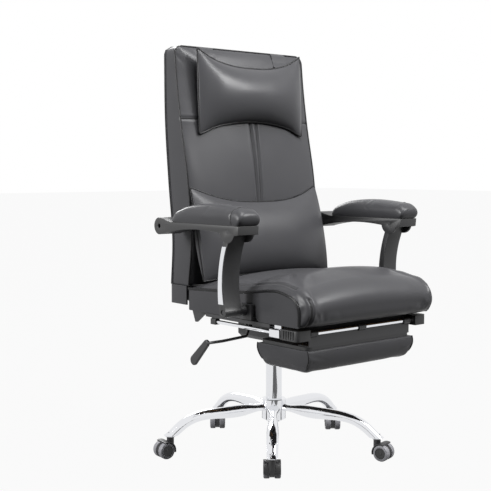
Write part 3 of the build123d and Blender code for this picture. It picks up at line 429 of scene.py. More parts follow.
@dataclass(frozen=True)
class Crease:
    """A line pressed into the leather, drawn in the view along one axis: a groove with a slight rise beside it."""

    path: tuple[tuple[float, float], ...]
    width: float
    depth: float
    along: int = 1
    facing: int = -1
    shoulder: float = 0.2

    def push(self, place: Vector, normal: Vector) -> float:
        """How far in the leather is drawn.

        Args:
            place: A place on the cover, in millimetres.
            normal: The cover's normal there.

        Returns:
            Depth in millimetres.
        """
        if normal[self.along] * self.facing < 0.2:
            return 0.0
        flat = Vector([place[i] for i in range(3) if i != self.along])
        best = min(self.gap(flat, Vector(a), Vector(b)) for a, b in zip(self.path, self.path[1:]))
        r = best / self.width
        if r > 4:
            return 0.0
        return self.depth * (math.exp(-r * r) - self.shoulder * math.exp(-((r - 2) ** 2)))

    def trace(self, skin: BVHTree) -> list[Vector]:
        """Places on a cover along the line, in metres, for the near-black cord that paints the groove's shade."""
        away = Vector((0, 0, 0))
        away[self.along] = self.facing
        others = [i for i in range(3) if i != self.along]
        found = []
        for start, end in zip(self.path, self.path[1:]):
            for step in range(41):
                spot = away * 2
                for axis, low, high in zip(others, start, end):
                    spot[axis] = (low + (high - low) * step / 40) * MM
                hit = skin.ray_cast(spot, -away)[0]
                if hit:
                    found.append(hit)
        return found

    @staticmethod
    def gap(place: Vector, start: Vector, end: Vector) -> float:
        """Distance from a place to a stretch of the line."""
        line = end - start
        share = (place - start).dot(line) / line.length_squared
        return (place - start - line * min(max(share, 0.0), 1.0)).length


def tube(path: Sequence[Vector], radius: float, closed: bool = False) -> bpy.types.Mesh:
    """A round cord along a path.

    Args:
        path: Places on the path, in metres.
        radius: Radius of the cord, in metres.
        closed: Whether the last place joins the first.

    Returns:
        The cord as a mesh.
    """
    curve = bpy.data.curves.new("cord", "CURVE")
    curve.dimensions = "3D"
    curve.bevel_depth = radius
    curve.bevel_resolution = 2
    curve.use_fill_caps = True
    spline = curve.splines.new("POLY")
    spline.points.add(len(path) - 1)
    for point, place in zip(spline.points, path):
        point.co = (*place, 1.0)
    spline.use_cyclic_u = closed
    holder = bpy.data.objects.new("cord", curve)
    mesh = bpy.data.meshes.new_from_object(holder)
    bpy.data.objects.remove(holder)
    bpy.data.curves.remove(curve)
    return mesh


def publish(
    bm: bmesh.types.BMesh,
    name: str,
    finishes: Sequence[Finish],
    body: str,
    nodes: Iterable[str] = (),
    angle: float = 40.0,
) -> bpy.types.Object:
    """Turns a mesh into a shown piece that rides on a body.

    Args:
        bm: The finished mesh; it is freed here.
        name: Name of the piece.
        finishes: One finish for each material number in the mesh.
        body: The body that the piece moves with.
        nodes: Nodes of the model that the piece stands for.
        angle: Edges sharper than this, in degrees, stay crisp.

    Returns:
        The new object.
    """
    bmesh.ops.recalc_face_normals(bm, faces=bm.faces)
    for face in bm.faces:
        face.smooth = True
    for edge in bm.edges:
        edge.smooth = len(edge.link_faces) == 2 and edge.calc_face_angle(0.0) < math.radians(angle)
    mesh = bpy.data.meshes.new(name)
    bm.to_mesh(mesh)
    bm.free()
    for finish in finishes:
        mesh.materials.append(finish.material())
    piece = bpy.data.objects.new(name, mesh)
    bpy.context.scene.collection.objects.link(piece)
    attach(piece, body)
    for node in nodes:
        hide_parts(node)
    log.info("%s: %d faces on %s", name, len(mesh.polygons), body)
    return piece


@dataclass
class Cushion:
    """A stuffed cover: a block of panels, shaped, filled out under pressure, then creased and piped."""

    name: str
    body: str
    node: str
    cuts: tuple[int, int, int]
    pressure: float = 4.0
    slack: float = 0.0
    most: float = 10.0
    fill: float = 0.6
    cord: float = 2.6
    # Radius of the near-black cord that paints the shade in each crease's groove.
    groove_shade_radius: float = 1.2
    creases: list[Crease] = field(default_factory=list)

    def form(self, a: float, b: float, c: float) -> Vector:
        """Place, in millimetres, of a point on the unit block (-1 to 1 in X, Y and Z)."""
        raise NotImplementedError

    def held(self, a: float, b: float, c: float) -> bool:
        """Whether a point of the block is held by a seam or a board."""
        raise NotImplementedError

    def seams(self) -> list[list[tuple[float, float, float]]]:
        """Piped seams, as paths over the unit block."""
        return []

    def block(self) -> tuple[bmesh.types.BMesh, list[Vector]]:
        """The subdivided unit block and the block place of each vertex."""
        bm = bmesh.new()
        bmesh.ops.create_cube(bm, size=2)
        for axis, cut in enumerate(self.cuts):
            along = [e for e in bm.edges if abs((e.verts[0].co - e.verts[1].co)[axis]) > 1e-6]
            if cut:
                bmesh.ops.subdivide_edges(bm, edges=along, cuts=cut, use_grid_fill=True)
        bm.verts.index_update()
        return bm, [v.co.copy() for v in bm.verts]

    def stuffed(self, bm: bmesh.types.BMesh, pins: list[int]) -> bpy.types.Mesh:
        """Fills the cover out under pressure, held at its pins, and rounds it with one subdivision.

        Args:
            bm: The shaped cover; it is freed here.
            pins: Vertices held in place.

        Returns:
            The filled cover.
        """
        mesh = bpy.data.meshes.new(self.name)
        bm.to_mesh(mesh)
        bm.free()
        cover = bpy.data.objects.new(self.name, mesh)
        bpy.context.scene.collection.objects.link(cover)
        self.inflate(cover, pins)
        rounding = cover.modifiers.new("rounding", "SUBSURF")
        rounding.levels = 1
        rounding.render_levels = 1
        graph = bpy.context.evaluated_depsgraph_get()
        filled = bpy.data.meshes.new_from_object(cover.evaluated_get(graph))
        bpy.data.objects.remove(cover)
        bpy.data.meshes.remove(mesh)
        return filled

    def inflate(self, cover: bpy.types.Object, pins: list[int]) -> None:
        """Runs the filling's pressure on the cover and keeps the result within the allowed movement."""
        group = cover.vertex_groups.new(name="seams")
        group.add(pins, 1.0, "REPLACE")
        cloth = cover.modifiers.new("filling", "CLOTH")
        cloth.settings.quality = 4
        cloth.settings.use_pressure = True
        cloth.settings.uniform_pressure_force = self.pressure
        cloth.settings.vertex_group_mass = "seams"
        cloth.settings.effector_weights.gravity = 0.0
        cloth.settings.shrink_min = -self.slack
        cloth.point_cache.frame_start = 1
        cloth.point_cache.frame_end = 20
        scene = bpy.context.scene
        for step in range(1, 21):
            scene.frame_set(step)
        graph = bpy.context.evaluated_depsgraph_get()
        blown = [v.co.copy() for v in cover.evaluated_get(graph).data.vertices]
        cover.modifiers.remove(cloth)
        for vertex, place in zip(cover.data.vertices, blown):
            move = place - vertex.co
            if move.length > self.most * MM:
                move.length = self.most * MM
            vertex.co += move
        scene.frame_set(1)

    def press(self, bm: bmesh.types.BMesh) -> None:
        """Presses the creases into the cover."""
        bm.normal_update()
        moves = []
        for vertex in bm.verts:
            place = vertex.co / MM
            depth = sum(crease.push(place, vertex.normal) for crease in self.creases)
            if depth:
                moves.append((vertex, vertex.normal * depth * MM))
        for vertex, move in moves:
            vertex.co -= move

    def build(self) -> bpy.types.Object:
        """Makes the cushion."""
        bm, places = self.block()
        pins = [i for i, p in enumerate(places) if self.held(*p)]
        for vertex, place in zip(bm.verts, places):
            vertex.co = self.form(*place) * MM
        filled = self.stuffed(bm, pins)
        bm = bmesh.new()
        bm.from_mesh(filled)
        bpy.data.meshes.remove(filled)
        if self.creases:
            self.press(bm)
        skin = BVHTree.FromBMesh(bm)
        plain = len(bm.faces)
        for path in self.seams():
            bm.from_mesh(tube([self.form(*p) * MM for p in path], self.cord * MM))
        piped = len(bm.faces)
        # Near-black cords along the creases paint the shade in their grooves.
        for crease in self.creases:
            bm.from_mesh(tube(crease.trace(skin), self.groove_shade_radius * MM))
        # Piping cords take the piping leather, darker than the cover as painted seam shade.
        bm.faces.ensure_lookup_table()
        for face in bm.faces[plain:]:
            face.material_index = 1 if face.index < piped else 2
        piece = publish(bm, self.name, [LEATHER, PIPING_WITH_SEAM_SHADE, GROOVE_SHADE_CORD], self.body, [self.node], angle=75.0)
        return piece


@dataclass
class SeatCushion(Cushion):
    """Seat: waterfall front, crowned top, boxed sides under a thick piped seam."""

    half: float = 252.0
    hem: float = 436.0
    rear: float = 88.0
    foot: float = -378.0
    nose: float = 39.0
    crown: float = 16.0
    roll: float = 28.0
    draw: float = 37.0
    draw_length: float = 26.0
    board_half: float = 243.6
    board_front: float = -372.4
    board_top: float = 460.6
    bracket_y: float = -178.0
    top: Guide = Guide(((-372, 538), (-289, 552), (-164, 536), (-32, 526), (88, 500)))
    side_top: Guide = Guide(((-352, 514), (-289, 525), (-164, 511), (-32, 504), (88, 498)))

    def form(self, a: float, b: float, c: float) -> Vector:
        """Place of a block point on the seat."""
        x = self.half * (1 - (1 - abs(a)) ** 1.7)
        gap = self.half - x
        rise = (c + 1) / 2
        draw = self.draw * round_over(gap, self.draw_length)
        swell = (self.nose - draw) * max(0.0, math.sin(math.pi * rise)) ** 0.8
        front = self.foot + (6 + 0.55 * draw) * rise**5 - swell
        y = front + (self.rear - front) * (b + 1) / 2
        crown = self.crown * max(0.0, 1 - (x / 212) ** 2) * (1 - 0.6 * min(max((y + 32) / 120, 0.0), 1.0))
        top = self.top.at(y) + crown
        top -= (top - self.side_top.at(y)) * round_over(gap, self.roll)
        notch = min(max((40 - abs(y - self.bracket_y)) / 6, 0.0), 1.0)
        low = self.hem + 11 * notch
        if c < -0.999 and x < self.board_half and y > self.board_front:
            low = self.board_top
        return Vector((math.copysign(x, a), y, low + (top - low) * rise))

    def held(self, a: float, b: float, c: float) -> bool:
        """Held at the side seams, on the board below and behind."""
        return c < -0.999 or b > 0.999 or (abs(a) > 0.999 and (c > 0.999 or b < -0.999))

    def seams(self) -> list[list[tuple[float, float, float]]]:
        """One piped seam on each side, along the top and down the front corner."""
        along = [1 - 2 * i / 60 for i in range(61)]
        return [
            [(side, b, 1.0) for b in along] + [(side, -1.0, c) for c in along[1:56]]
            for side in (-1.0, 1.0)
        ]


@dataclass(frozen=True)
class BackLines:
    """Lines that the back's cushion and its cover share, in side view, by height."""

    half: float = 250.0
    foot: float = 505.0
    top: float = 1201.0
    corner: float = 24.0
    rear: Guide = Guide(((505, 176), (640, 168.5), (811, 187), (985, 202), (1190, 205)))
    border: Guide = Guide(((505, 92), (640, 77), (811, 93), (985, 127), (1100, 145), (1190, 155)))
    crown: Guide = Guide(((505, 3), (640, 4), (811, 9), (985, 15), (1100, 13), (1190, 6)))

    def width(self, z: float) -> float:
        """Half width at a height, drawn in round the top corners."""
        over = z - (self.top - self.corner)
        if over <= 0:
            return self.half
        return self.half - self.corner * (1 - math.sqrt(max(0.0, 1 - (over / self.corner) ** 2)))


@dataclass
class BackCushion(Cushion):
    """Back: boxed border, rolled edge and crowned front with a double seam down its middle."""

    lines: BackLines = BackLines()
    skin: float = 6.4
    roll: float = 36.0
    puff: float = 6.0

    def form(self, a: float, b: float, c: float) -> Vector:
        """Place of a block point on the back."""
        lines = self.lines
        rise = 1 - (1 - (c + 1) / 2) ** 1.25
        z = lines.foot + (lines.top - lines.foot) * rise
        x = lines.width(z) * (1 - (1 - abs(a)) ** 1.25)
        gap = min(lines.width(z) - x, lines.top - z)
        bulge = lines.crown.at(z) * (1 - (x / lines.half) ** 2) + self.puff * (1 - round_over(gap, self.roll))
        if gap < 0.01:
            bulge = 0.0
        front = lines.border.at(z) - bulge
        rear = lines.rear.at(z) - self.skin
        return Vector((math.copysign(x, a), front + (rear - front) * (b + 1) / 2, z))

    def held(self, a: float, b: float, c: float) -> bool:
        """Held at the border's front seam, along the rear cover and at the foot."""
        return b > 0.999 or c < -0.999 or (b < -0.999 and (abs(a) > 0.999 or c > 0.999))

    def seams(self) -> list[list[tuple[float, float, float]]]:
        """The front seam of the border, up one side, over the top and down the other."""
        up = [-1 + 2 * i / 80 for i in range(81)]
        across = [-1 + 2 * i / 40 for i in range(1, 40)]
        return [
            [(-1.0, -1.0, c) for c in up]
            + [(a, -1.0, 1.0) for a in across]
            + [(1.0, -1.0, c) for c in reversed(up)]
        ]


@dataclass
class Pillow(Cushion):
    """Knife-edged pillow with a piped seam all round; guides run over the distance from the middle."""

    half: float = 240.0
    top_y: Guide = Guide(((0, 0), (1, 0)))
    top_z: Guide = Guide(((0, 0), (1, 0)))
    foot_y: Guide = Guide(((0, 0), (1, 0)))
    foot_z: Guide = Guide(((0, 0), (1, 0)))
    front: Guide = Guide(((0, 0), (1, 0)))
    behind: Guide = Guide(((0, 0), (1, 0)))

    def form(self, a: float, b: float, c: float) -> Vector:
        """Place of a block point on the pillow."""
        x = self.half * (1 - (1 - abs(a)) ** 1.5)
        rise = (c + 1) / 2
        lens = max(0.0, 4 * rise * (1 - rise)) ** 0.72
        y = self.foot_y.at(x) + (self.top_y.at(x) - self.foot_y.at(x)) * rise
        z = self.foot_z.at(x) + (self.top_z.at(x) - self.foot_z.at(x)) * rise
        swell = self.front.at(x) if b < 0 else self.behind.at(x)
        return Vector((math.copysign(x, a), y + b * (swell * lens + 0.5), z))

    def held(self, a: float, b: float, c: float) -> bool:
        """Held at the seam, and flat behind against the back."""
        return abs(a) > 0.999 or abs(c) > 0.999 or b > 0.999

    def seams(self) -> list[list[tuple[float, float, float]]]:
        """The seam round the pillow."""
        run = [-1 + 2 * i / 60 for i in range(61)]
        return [
            [(a, 0.0, 1.0) for a in run]
            + [(1.0, 0.0, -c) for c in run[1:]]
            + [(-a, 0.0, -1.0) for a in run[1:]]
            + [(-1.0, 0.0, c) for c in run[1:]]
        ]


@dataclass
class ArmPad(Cushion):
    """Arm pad: crowned and rounded, flat on its tray."""

    side: Side = Side.LEFT
    middle: float = 312.0
    half: float = 38.0
    foot: float = 696.4
    front: float = -262.0
    rear: float = 42.0
    crown: float = 6.0
    top: Guide = Guide(((-242, 736), (-130, 744), (-30, 739), (28, 723)))

    def form(self, a: float, b: float, c: float) -> Vector:
        """Place of a block point on the pad."""
        x = self.half * (1 - (1 - abs(a)) ** 1.6)
        gap = self.half - x
        rise = (c + 1) / 2
        plan = 12 * abs(a) ** 4
        low_front = 10 * max(0.0, 1 - 2 * rise) ** 2
        high_front = 20 * max(0.0, 2 * rise - 1) ** 2.2
        front = self.front + plan + low_front + high_front
        rear = self.rear - plan - 14 * rise**2.5
        y = front + (rear - front) * (b + 1) / 2
        lift = self.crown * (1 - (x / self.half) ** 2) - 15 * round_over(gap, 19)
        tuck = 3 * max(0.0, 1 - 4 * rise) * abs(a) ** 3
        z = self.foot + (self.top.at(y) + lift - self.foot) * rise
        return Vector((self.side.value * self.middle + math.copysign(x - tuck, a), y, z))

    def held(self, a: float, b: float, c: float) -> bool:
        """Held on the tray."""
        return c < -0.999


@dataclass
class FootrestCushion(Cushion):
    """Footrest pad, stored soft side down, with seams down its four corners."""

    half: float = 205.0
    top: float = 369.6
    low: float = 309.0
    front: float = -362.0
    rear: float = -164.0

    def form(self, a: float, b: float, c: float) -> Vector:
        """Place of a block point on the pad."""
        rise = (c + 1) / 2
        x = self.half * (1 - (1 - abs(a)) ** 1.6)
        gap = self.half - x
        x -= 5 * (1 - rise) ** 2 * abs(a) ** 6
        front = self.front + 8 * (1 - rise) ** 2 - 20 * rise * (1 - rise)
        rear = self.rear - 14 * (1 - rise) ** 2 + 16 * rise * (1 - rise)
        y = front + (rear - front) * (b + 1) / 2
        ends = min(y - front, rear - y)
        low = self.low + 9 * round_over(gap, 16) + 8 * round_over(ends, 18)
        return Vector((math.copysign(x, a), y, low + (self.top - low) * rise))

    def held(self, a: float, b: float, c: float) -> bool:
        """Held on its board and at the corner seams."""
        return c > 0.999 or (abs(a) > 0.999 and abs(b) > 0.999)

    def seams(self) -> list[list[tuple[float, float, float]]]:
        """A corner seam at each of the four corners."""
        down = [1 - 2 * i / 16 for i in range(17)]
        return [[(a, b, c) for c in down] for a in (-1.0, 1.0) for b in (-1.0, 1.0)]


def own_mesh(node: str) -> bmesh.types.BMesh:
    """A welded copy of a model node's mesh, with flat areas made whole."""
    bm = bmesh.new()
    bm.from_mesh(frame["nodes"][node].data)
    bmesh.ops.remove_doubles(bm, verts=bm.verts, dist=0.01 * MM)
    bmesh.ops.dissolve_limit(bm, angle_limit=math.radians(1.0), verts=bm.verts, edges=bm.edges)
    return bm


@dataclass
class Moulding:
    """A hard piece with its sharp edges eased."""

    node: str
    body: str
    slot: Slot
    ease: float
    steps: int = 3
    sharp: float = 32.0

    def build(self) -> bpy.types.Object:
        """Makes the piece from its model node, with rounded edges."""
        bm = own_mesh(self.node)
        crisp = [e for e in bm.edges if len(e.link_faces) == 2 and e.calc_face_angle(0.0) > math.radians(self.sharp)]
        bmesh.ops.bevel(
            bm,
            geom=crisp,
            offset=self.ease * MM,
            offset_type="OFFSET",
            segments=self.steps,
            profile=0.5,
            affect="EDGES",
            clamp_overlap=True,
            material=-1,
        )
        return publish(bm, self.node + "_eased", [SLOT_FINISH[self.slot]], self.body, [self.node], 35.0)


@dataclass
class RearCover:
    """Upholstered rear panel of the back, piped at its edge, with a skirt round the hinge."""

    lines: BackLines = BackLines()
    skin: float = 6.0
    puff: float = 4.0
    skirt_foot: float = 450.0
    skirt_front: float = 96.0
    skirt_rear: float = 177.0
    wall: float = 5.0
    bend: float = 14.0
    cord: float = 2.4

    def panel(self) -> bmesh.types.BMesh:
        """The rear panel, slightly puffed."""
        lines = self.lines
        bm = bmesh.new()
        bmesh.ops.create_grid(bm, x_segments=48, y_segments=72, size=1)
        for vertex in bm.verts:
            u, v = vertex.co.x, vertex.co.y
            z = lines.foot + (lines.top - lines.foot) * (v + 1) / 2
            swell = self.puff * (1 - u**4) * (1 - v**8)
            vertex.co = Vector((lines.width(z) * u, lines.rear.at(z) + swell, z)) * MM
        bmesh.ops.recalc_face_normals(bm, faces=bm.faces)
        if bm.faces[:][0].normal.y < 0:
            bmesh.ops.reverse_faces(bm, faces=bm.faces)
        rim = bmesh.ops.extrude_face_region(bm, geom=bm.faces[:])
        inner = [g for g in rim["geom"] if isinstance(g, bmesh.types.BMVert)]
        for vertex in inner:
            z = vertex.co.z / MM
            vertex.co.y = (lines.rear.at(z) - self.skin) * MM
        return bm

    def skirt(self, bm: bmesh.types.BMesh) -> None:
        """Adds the skirt: a bent wall, open to the front."""
        half = self.lines.half
        b = self.bend
        corners = []
        for side in (1, -1):
            turn = [math.radians(90 * i / 6) for i in range(7)]
            arc = [(side * (half - b + b * math.cos(t)), self.skirt_rear - b + b * math.sin(t)) for t in turn]
            corners.append(arc if side == 1 else arc[::-1])
        plan = [(half, self.skirt_front)] + corners[0] + corners[1] + [(-half, self.skirt_front)]
        low = [bm.verts.new((x * MM, y * MM, self.skirt_foot * MM)) for x, y in plan]
        edges = [bm.edges.new(pair) for pair in zip(low, low[1:])]
        raised = bmesh.ops.extrude_edge_only(bm, edges=edges)
        wall = [g for g in raised["geom"] if isinstance(g, bmesh.types.BMFace)]
        top = [g for g in raised["geom"] if isinstance(g, bmesh.types.BMVert)]
        bmesh.ops.translate(bm, verts=top, vec=(0, 0, (self.lines.foot - self.skirt_foot) * MM))
        bmesh.ops.recalc_face_normals(bm, faces=wall)
        if wall[0].normal.x < 0:
            bmesh.ops.reverse_faces(bm, faces=wall)
        bmesh.ops.solidify(bm, geom=wall, thickness=self.wall * MM)

    def build(self) -> bpy.types.Object:
        """Makes the cover."""
        lines = self.lines
        bm = self.panel()
        self.skirt(bm)
        plain = len(bm.faces)
        up = [lines.foot + (lines.top - lines.foot) * i / 60 for i in range(61)]
        right = [Vector((lines.width(z), lines.rear.at(z) - 1, z)) for z in up]
        across = [Vector((lines.width(lines.top) * (1 - i / 20), lines.rear.at(lines.top) - 1, lines.top)) for i in range(1, 40)]
        left = [Vector((-p.x, p.y, p.z)) for p in reversed(right)]
        bm.from_mesh(tube([p * MM for p in right + across + left], self.cord * MM))
        bm.faces.ensure_lookup_table()
        # The piping takes the darker piping leather: painted seam shade.
        for face in bm.faces[plain:]:
            face.material_index = 1
        return publish(bm, "back_rear_cover", [LEATHER, PIPING_WITH_SEAM_SHADE], "back", ["back_cover"], 60.0)


@dataclass
class SeatFrontShadeSheet:
    """Near-black sheet hung below the front of the seat board, behind the footrest's cross rod: painted shade where
    the seat front's shadow falls.
    """

    half: float = 224.0
    y: float = -334.0
    top: float = 447.0
    foot: float = 403.0
    thickness: float = 1.2

    def build(self) -> bpy.types.Object:
        """Makes the painted-shade sheet, with slight waves along its foot."""
        bm = bmesh.new()
        bmesh.ops.create_grid(bm, x_segments=90, y_segments=6, size=1)
        for vertex in bm.verts:
            u, v = vertex.co.x, vertex.co.y
            wave = 1.5 * (1 - v) / 2 * math.sin(11 * u)
            z = self.foot + (self.top - self.foot) * (v + 1) / 2
            vertex.co = Vector((self.half * u, self.y + wave, z)) * MM
        bmesh.ops.recalc_face_normals(bm, faces=bm.faces)
        bmesh.ops.solidify(bm, geom=bm.faces[:], thickness=self.thickness * MM)
        piece = publish(bm, "seat_front_painted_shade", [CLOTH], "seat", [], 60.0)
        return piece


@dataclass
class HeadStraps:
    """Two flat straps that hold the head pillow, over the top of the back and down behind it."""

    middle: float = 142.0
    width: float = 56.0
    thickness: float = 2.0
    path: tuple[tuple[float, float], ...] = (
        (107, 1156),
        (124, 1157),
        (134, 1163),
        (139, 1178),
        (144, 1194),
        (152, 1202.6),
        (204, 1203),
        (211, 1197),
        (212, 1080),
    )

    def build(self) -> bpy.types.Object:
        """Makes both straps as one piece."""
        bm = bmesh.new()
        for side in (-1, 1):
            x = (side * self.middle - self.width / 2) * MM
            row = [bm.verts.new((x, y * MM, z * MM)) for y, z in self.path]
            edges = [bm.edges.new(pair) for pair in zip(row, row[1:])]
            spread = bmesh.ops.extrude_edge_only(bm, edges=edges)
            far = [g for g in spread["geom"] if isinstance(g, bmesh.types.BMVert)]
            faces = [g for g in spread["geom"] if isinstance(g, bmesh.types.BMFace)]
            bmesh.ops.translate(bm, verts=far, vec=(self.width * MM, 0, 0))
            bmesh.ops.solidify(bm, geom=faces, thickness=self.thickness * MM)
        piece = publish(bm, "head_pillow_straps", [LEATHER], "back", ["head_straps"], 60.0)
        return piece


@dataclass
class CasterWheels:
    """A pair of wheels: grey tread with a black disc set into each outer face."""

    number: int
    radius: float = 24.0
    width: float = 17.0
    gap: float = 14.0
    disc: float = 15.5
    recess: float = 2.0

    def axle(self) -> tuple[Vector, Vector]:
        """Middle of the axle and its direction, from the rolling joint."""
        joint = next(j for j in frame["joints"] if j["name"] == f"wheel_roll_{self.number}")
        return Vector(joint["pos_m"]), Vector(joint["axis"]).normalized()

    def wheel(self, bm: bmesh.types.BMesh, middle: Vector, axle: Vector) -> None:
        """Spins one wheel's outline round the axle; the disc takes the second material."""
        near = self.gap / 2
        far = near + self.width
        r = self.radius
        outline = [
            (near, 3.0),
            (near, r - 1.5),
            (near + 1.5, r),
            (far - 4, r),
            (far - 1.2, r - 1.2),
            (far, r - 4),
            (far, self.disc + 0.8),
            (far - self.recess, self.disc),
            (far - self.recess, 6.0),
            (far - self.recess + 1.2, 4.5),
            (far - self.recess + 1.2, 0.0),
        ]
        across = axle.cross(Vector((0, 0, 1))).normalized()
        row = [bm.verts.new(middle + axle * along * MM + across * out * MM) for along, out in outline]
        edges = [bm.edges.new(pair) for pair in zip(row, row[1:])]
        before = set(bm.faces)
        bmesh.ops.spin(
            bm, geom=row + edges, cent=middle, axis=axle, angle=2 * math.pi, steps=48, use_merge=True, use_duplicate=False
        )
        for face in set(bm.faces) - before:
            offset = face.calc_center_median() - middle
            along = offset.dot(axle) / MM
            out = (offset - axle * offset.dot(axle)).length / MM
            face.material_index = 1 if along > near + 2 and out < self.disc + 0.5 else 0

    def build(self) -> bpy.types.Object:
        """Makes the pair."""
        middle, axle = self.axle()
        bm = bmesh.new()
        self.wheel(bm, middle, axle)
        self.wheel(bm, middle, -axle)
        bmesh.ops.remove_doubles(bm, verts=bm.verts, dist=0.02 * MM)
        return publish(
            bm,
            f"caster_wheel_pair_{self.number}",
            [TREAD, BLACK_PLASTIC],
            f"wheels_{self.number}",
            [f"caster_wheels_{self.number}"],
            30.0,
        )


@dataclass
class Studio:
    """Pale floor, soft lamps and the camera."""

    camera_place: tuple[float, float, float] = (-1.9998, -2.2533, 0.8441)
    camera_pitch: float = 85.6697
    camera_turn: float = -39.9637
    lens: float = 74.26
    ambient: float = 0.05
    floor_colour: str = "3c3c3c"
    card_place: tuple[float, float, float] = (-0.77, -1.245, 0.004)
    card_size: tuple[float, float] = (0.95, 1.8)

    def world(self) -> None:
        """Even white surroundings, seen at full white and lighting the chair at a lower level."""
        world = bpy.data.worlds.new("studio")
        world.use_nodes = True
        tree = world.node_tree
        tree.nodes.clear()
        path = add_node(tree, "ShaderNodeLightPath")
        shiny = add_node(
            tree,
            "ShaderNodeMath",
            {0: path.outputs["Is Glossy Ray"], 1: path.outputs["Is Transmission Ray"]},
            operation="MAXIMUM",
        )
        seen = add_node(
            tree,
            "ShaderNodeMath",
            {0: path.outputs["Is Camera Ray"], 1: shiny.outputs[0]},
            operation="MAXIMUM",
        )
        level = add_node(
            tree,
            "ShaderNodeMapRange",
            {"Value": seen.outputs[0], "To Min": self.ambient, "To Max": 1.0},
        )
        light = add_node(tree, "ShaderNodeBackground", {"Color": (1, 1, 1, 1), "Strength": level.outputs["Result"]})
        add_node(tree, "ShaderNodeOutputWorld", {"Surface": light.outputs["Background"]})
        bpy.context.scene.world = world

    def floor(self) -> None:
        """A wide pale floor that takes the shadow."""
        bm = bmesh.new()
        bmesh.ops.create_grid(bm, x_segments=1, y_segments=1, size=30)
        mesh = bpy.data.meshes.new("floor")
        bm.to_mesh(mesh)
        bm.free()
        floor = bpy.data.objects.new("floor", mesh)
        mesh.materials.append(StudioFloor("studio_floor", self.floor_colour, 0.9).material())
        bpy.context.scene.collection.objects.link(floor)

    def card(self) -> None:
        """A black card on the floor before the chair, seen only in bright metal, for a dark line there."""
        bm = bmesh.new()
        bmesh.ops.create_grid(bm, x_segments=1, y_segments=1, size=0.5)
        bmesh.ops.scale(bm, vec=(*self.card_size, 1.0), verts=bm.verts)
        turn = Matrix.Rotation(math.radians(self.camera_turn), 4, "Z")
        bmesh.ops.transform(bm, matrix=Matrix.Translation(self.card_place) @ turn, verts=bm.verts)
        mesh = bpy.data.meshes.new("black_card")
        bm.to_mesh(mesh)
        bm.free()
        mesh.materials.append(Painted("card_black", "0a0a0a", 0.8).material())
        card = bpy.data.objects.new("black_card", mesh)
        card.visible_camera = False
        card.visible_diffuse = False
        card.visible_shadow = False
        bpy.context.scene.collection.objects.link(card)

    def lamp(self, name: str, place: Sequence[float], target: Sequence[float], size: float, power: float) -> None:
        """Hangs one soft lamp.

        Args:
            name: Name of the lamp.
            place: Where it hangs.
            target: What it points at.
            size: Side of its square face, in metres.
            power: Power in watts.
        """
        data = bpy.data.lights.new(name, "AREA")
        data.size = size
        data.energy = power
        lamp = bpy.data.objects.new(name, data)
        lamp.location = place
        lamp.rotation_euler = (Vector(target) - Vector(place)).to_track_quat("-Z", "Y").to_euler()
        bpy.context.scene.collection.objects.link(lamp)

    def camera(self) -> None:
        """The camera fitted to the picture."""
        data = bpy.data.cameras.new("camera")
        data.sensor_width = 36.0
        data.lens = self.lens
        camera = bpy.data.objects.new("camera", data)
        camera.location = self.camera_place
        camera.rotation_euler = (math.radians(self.camera_pitch), 0.0, math.radians(self.camera_turn))
        bpy.context.scene.collection.objects.link(camera)
        bpy.context.scene.camera = camera

    def build(self) -> None:
        """Sets the studio up."""
        bpy.context.scene.view_settings.view_transform = "Standard"
        self.world()
        self.floor()
        self.card()
        self.lamp("front_lamp", (1.3, -2.3, 2.8), (0, 0, 0.8), 1.2, 175)
        self.lamp("top_lamp", (-0.2, -1.1, 3.2), (0, 0, 0.6), 1.4, 115)
        self.lamp("side_lamp", (-3.2, 0.9, 1.8), (0, 0, 0.8), 1.2, 170)
        self.lamp("rear_lamp", (1.2, 3.2, 2.4), (0, 0, 0.7), 1.5, 60)
        self.camera()


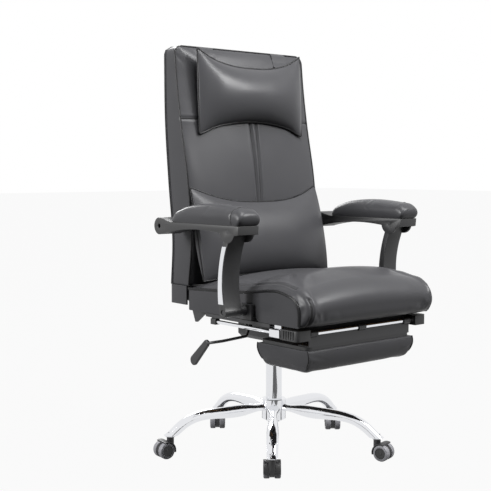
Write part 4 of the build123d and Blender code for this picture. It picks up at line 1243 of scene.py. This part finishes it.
@dataclass
class Chair:
    """The whole chair: its cushions, eased mouldings and dressed metal."""

    replaced: set[str] = field(default_factory=set)

    def cushions(self) -> list[Cushion]:
        """Every stuffed piece."""
        lumbar = Pillow(
            "lumbar_pillow", "back", "lumbar_cushion", (55, 4, 36), most=12.0, fill=0.6, half=246,
            top_y=Guide(((-96, 62), (0, 60), (96, 62), (170, 70), (222, 81), (246, 86))),
            top_z=Guide(((-96, 749), (0, 745), (96, 749), (170, 763), (222, 781), (246, 790))),
            foot_y=Guide(((-96, 28), (0, 28), (96, 28), (170, 26), (222, 24), (246, 24))),
            foot_z=Guide(((-96, 533), (0, 534), (96, 533), (170, 529), (222, 525), (246, 524))),
            front=Guide(((-96, 42), (0, 43), (96, 42), (170, 35), (222, 24), (246, 13))),
            behind=Guide(((-96, 24), (0, 24), (96, 24), (170, 26), (222, 24), (246, 16))),
        )
        head = Pillow(
            "head_rest_pillow", "back", "head_pillow", (47, 4, 32), most=10.0, fill=0.6, half=201,
            top_y=Guide(((-70, 105), (0, 105), (70, 105), (141, 107), (185, 109), (201, 111))),
            top_z=Guide(((-70, 1147), (0, 1145), (70, 1148), (141, 1163), (185, 1184), (201, 1194))),
            foot_y=Guide(((-70, 92), (0, 92), (70, 92), (141, 95), (185, 98), (201, 100))),
            foot_z=Guide(((-70, 981), (0, 985), (70, 981), (141, 968), (185, 951), (201, 946))),
            front=Guide(((-70, 44), (0, 46), (70, 44), (141, 36), (185, 18), (201, 4))),
            behind=Guide(((-70, 20), (0, 20), (70, 20), (141, 20), (185, 15), (201, 6))),
        )
        back = BackCushion(
            "back_upholstery", "back", "back_cushion", (99, 8, 69), most=8.0, fill=0.7,
            creases=[
                Crease(((-6, 730), (-12, 1000)), 4.5, 4.0),
                Crease(((6, 730), (12, 1000)), 4.5, 4.0),
                Crease(((-248, 990), (-170, 990)), 4.0, 3.0),
                Crease(((248, 990), (170, 990)), 4.0, 3.0),
            ],
        )
        seat = SeatCushion(
            "seat_upholstery", "seat", "seat_cushion", (71, 65, 15), most=5.0, fill=0.7, cord=4.2,
            creases=[
                *(Crease(((x, 438), (x, 512)), 3.2, 4.0) for x in (-234, 234)),
                *(Crease(((x, -350), (x, 90)), 3.2, 4.0, along=2, facing=1) for x in (-234, 234)),
            ],
        )
        rest = FootrestCushion("footrest_upholstery", "footrest_pad", "rest_cushion", (59, 29, 11), most=2.0, fill=0.7, cord=1.8)
        pads = [
            ArmPad(f"arm_pad_{side.word}_upholstery", f"arm_{side.word}", f"arm_pad_{side.word}", (17, 53, 11), most=2.5, fill=0.7, side=side, creases=[Crease(((-226, 700), (-222, 722), (-228, 750)), 2.5, 1.5, along=0, facing=side.value)])
            for side in Side
        ]
        return [seat, back, lumbar, head, rest, *pads]

    def mouldings(self) -> list[Moulding]:
        """Hard pieces whose edges are eased."""
        eased = [
            Moulding("lever_paddle", "lever", Slot.BLACK_PLASTIC, 3.0),
            Moulding("mechanism_housing", "seat", Slot.BLACK_STEEL, 2.0),
            Moulding("rest_blocks", "footrest_frame", Slot.BLACK_PLASTIC, 1.2),
        ]
        for side in Side:
            eased.append(Moulding(f"arm_tray_{side.word}", f"arm_{side.word}", Slot.BLACK_PLASTIC, 4.0))
            eased.append(Moulding(f"arm_post_{side.word}", f"post_{side.word}", Slot.BLACK_PLASTIC, 2.5))
        return eased

    def dress(self) -> None:
        """Gives every shown model node the finish of its material slot."""
        for part in frame["record"]["subparts"]:
            node = frame["nodes"][part["node"]]
            finish = SLOT_FINISH[Slot(part["material_slot"])]
            if part["node"] in BLACKED:
                finish = BLACK_STEEL
            for holder in node.material_slots:
                holder.link = "OBJECT"
                holder.material = finish.material()
            log.info("%s dressed in %s", part["node"], finish.name)

    def build(self) -> None:
        """Makes and dresses everything."""
        self.dress()
        for cushion in self.cushions():
            cushion.build()
        RearCover().build()
        HeadStraps().build()
        SeatFrontShadeSheet().build()
        for moulding in self.mouldings():
            moulding.build()
        for number in range(1, 6):
            CasterWheels(number).build()


def main() -> None:
    """Builds the chair and its studio."""
    Chair().build()
    Studio().build()


if __name__ == "__main__":
    main()
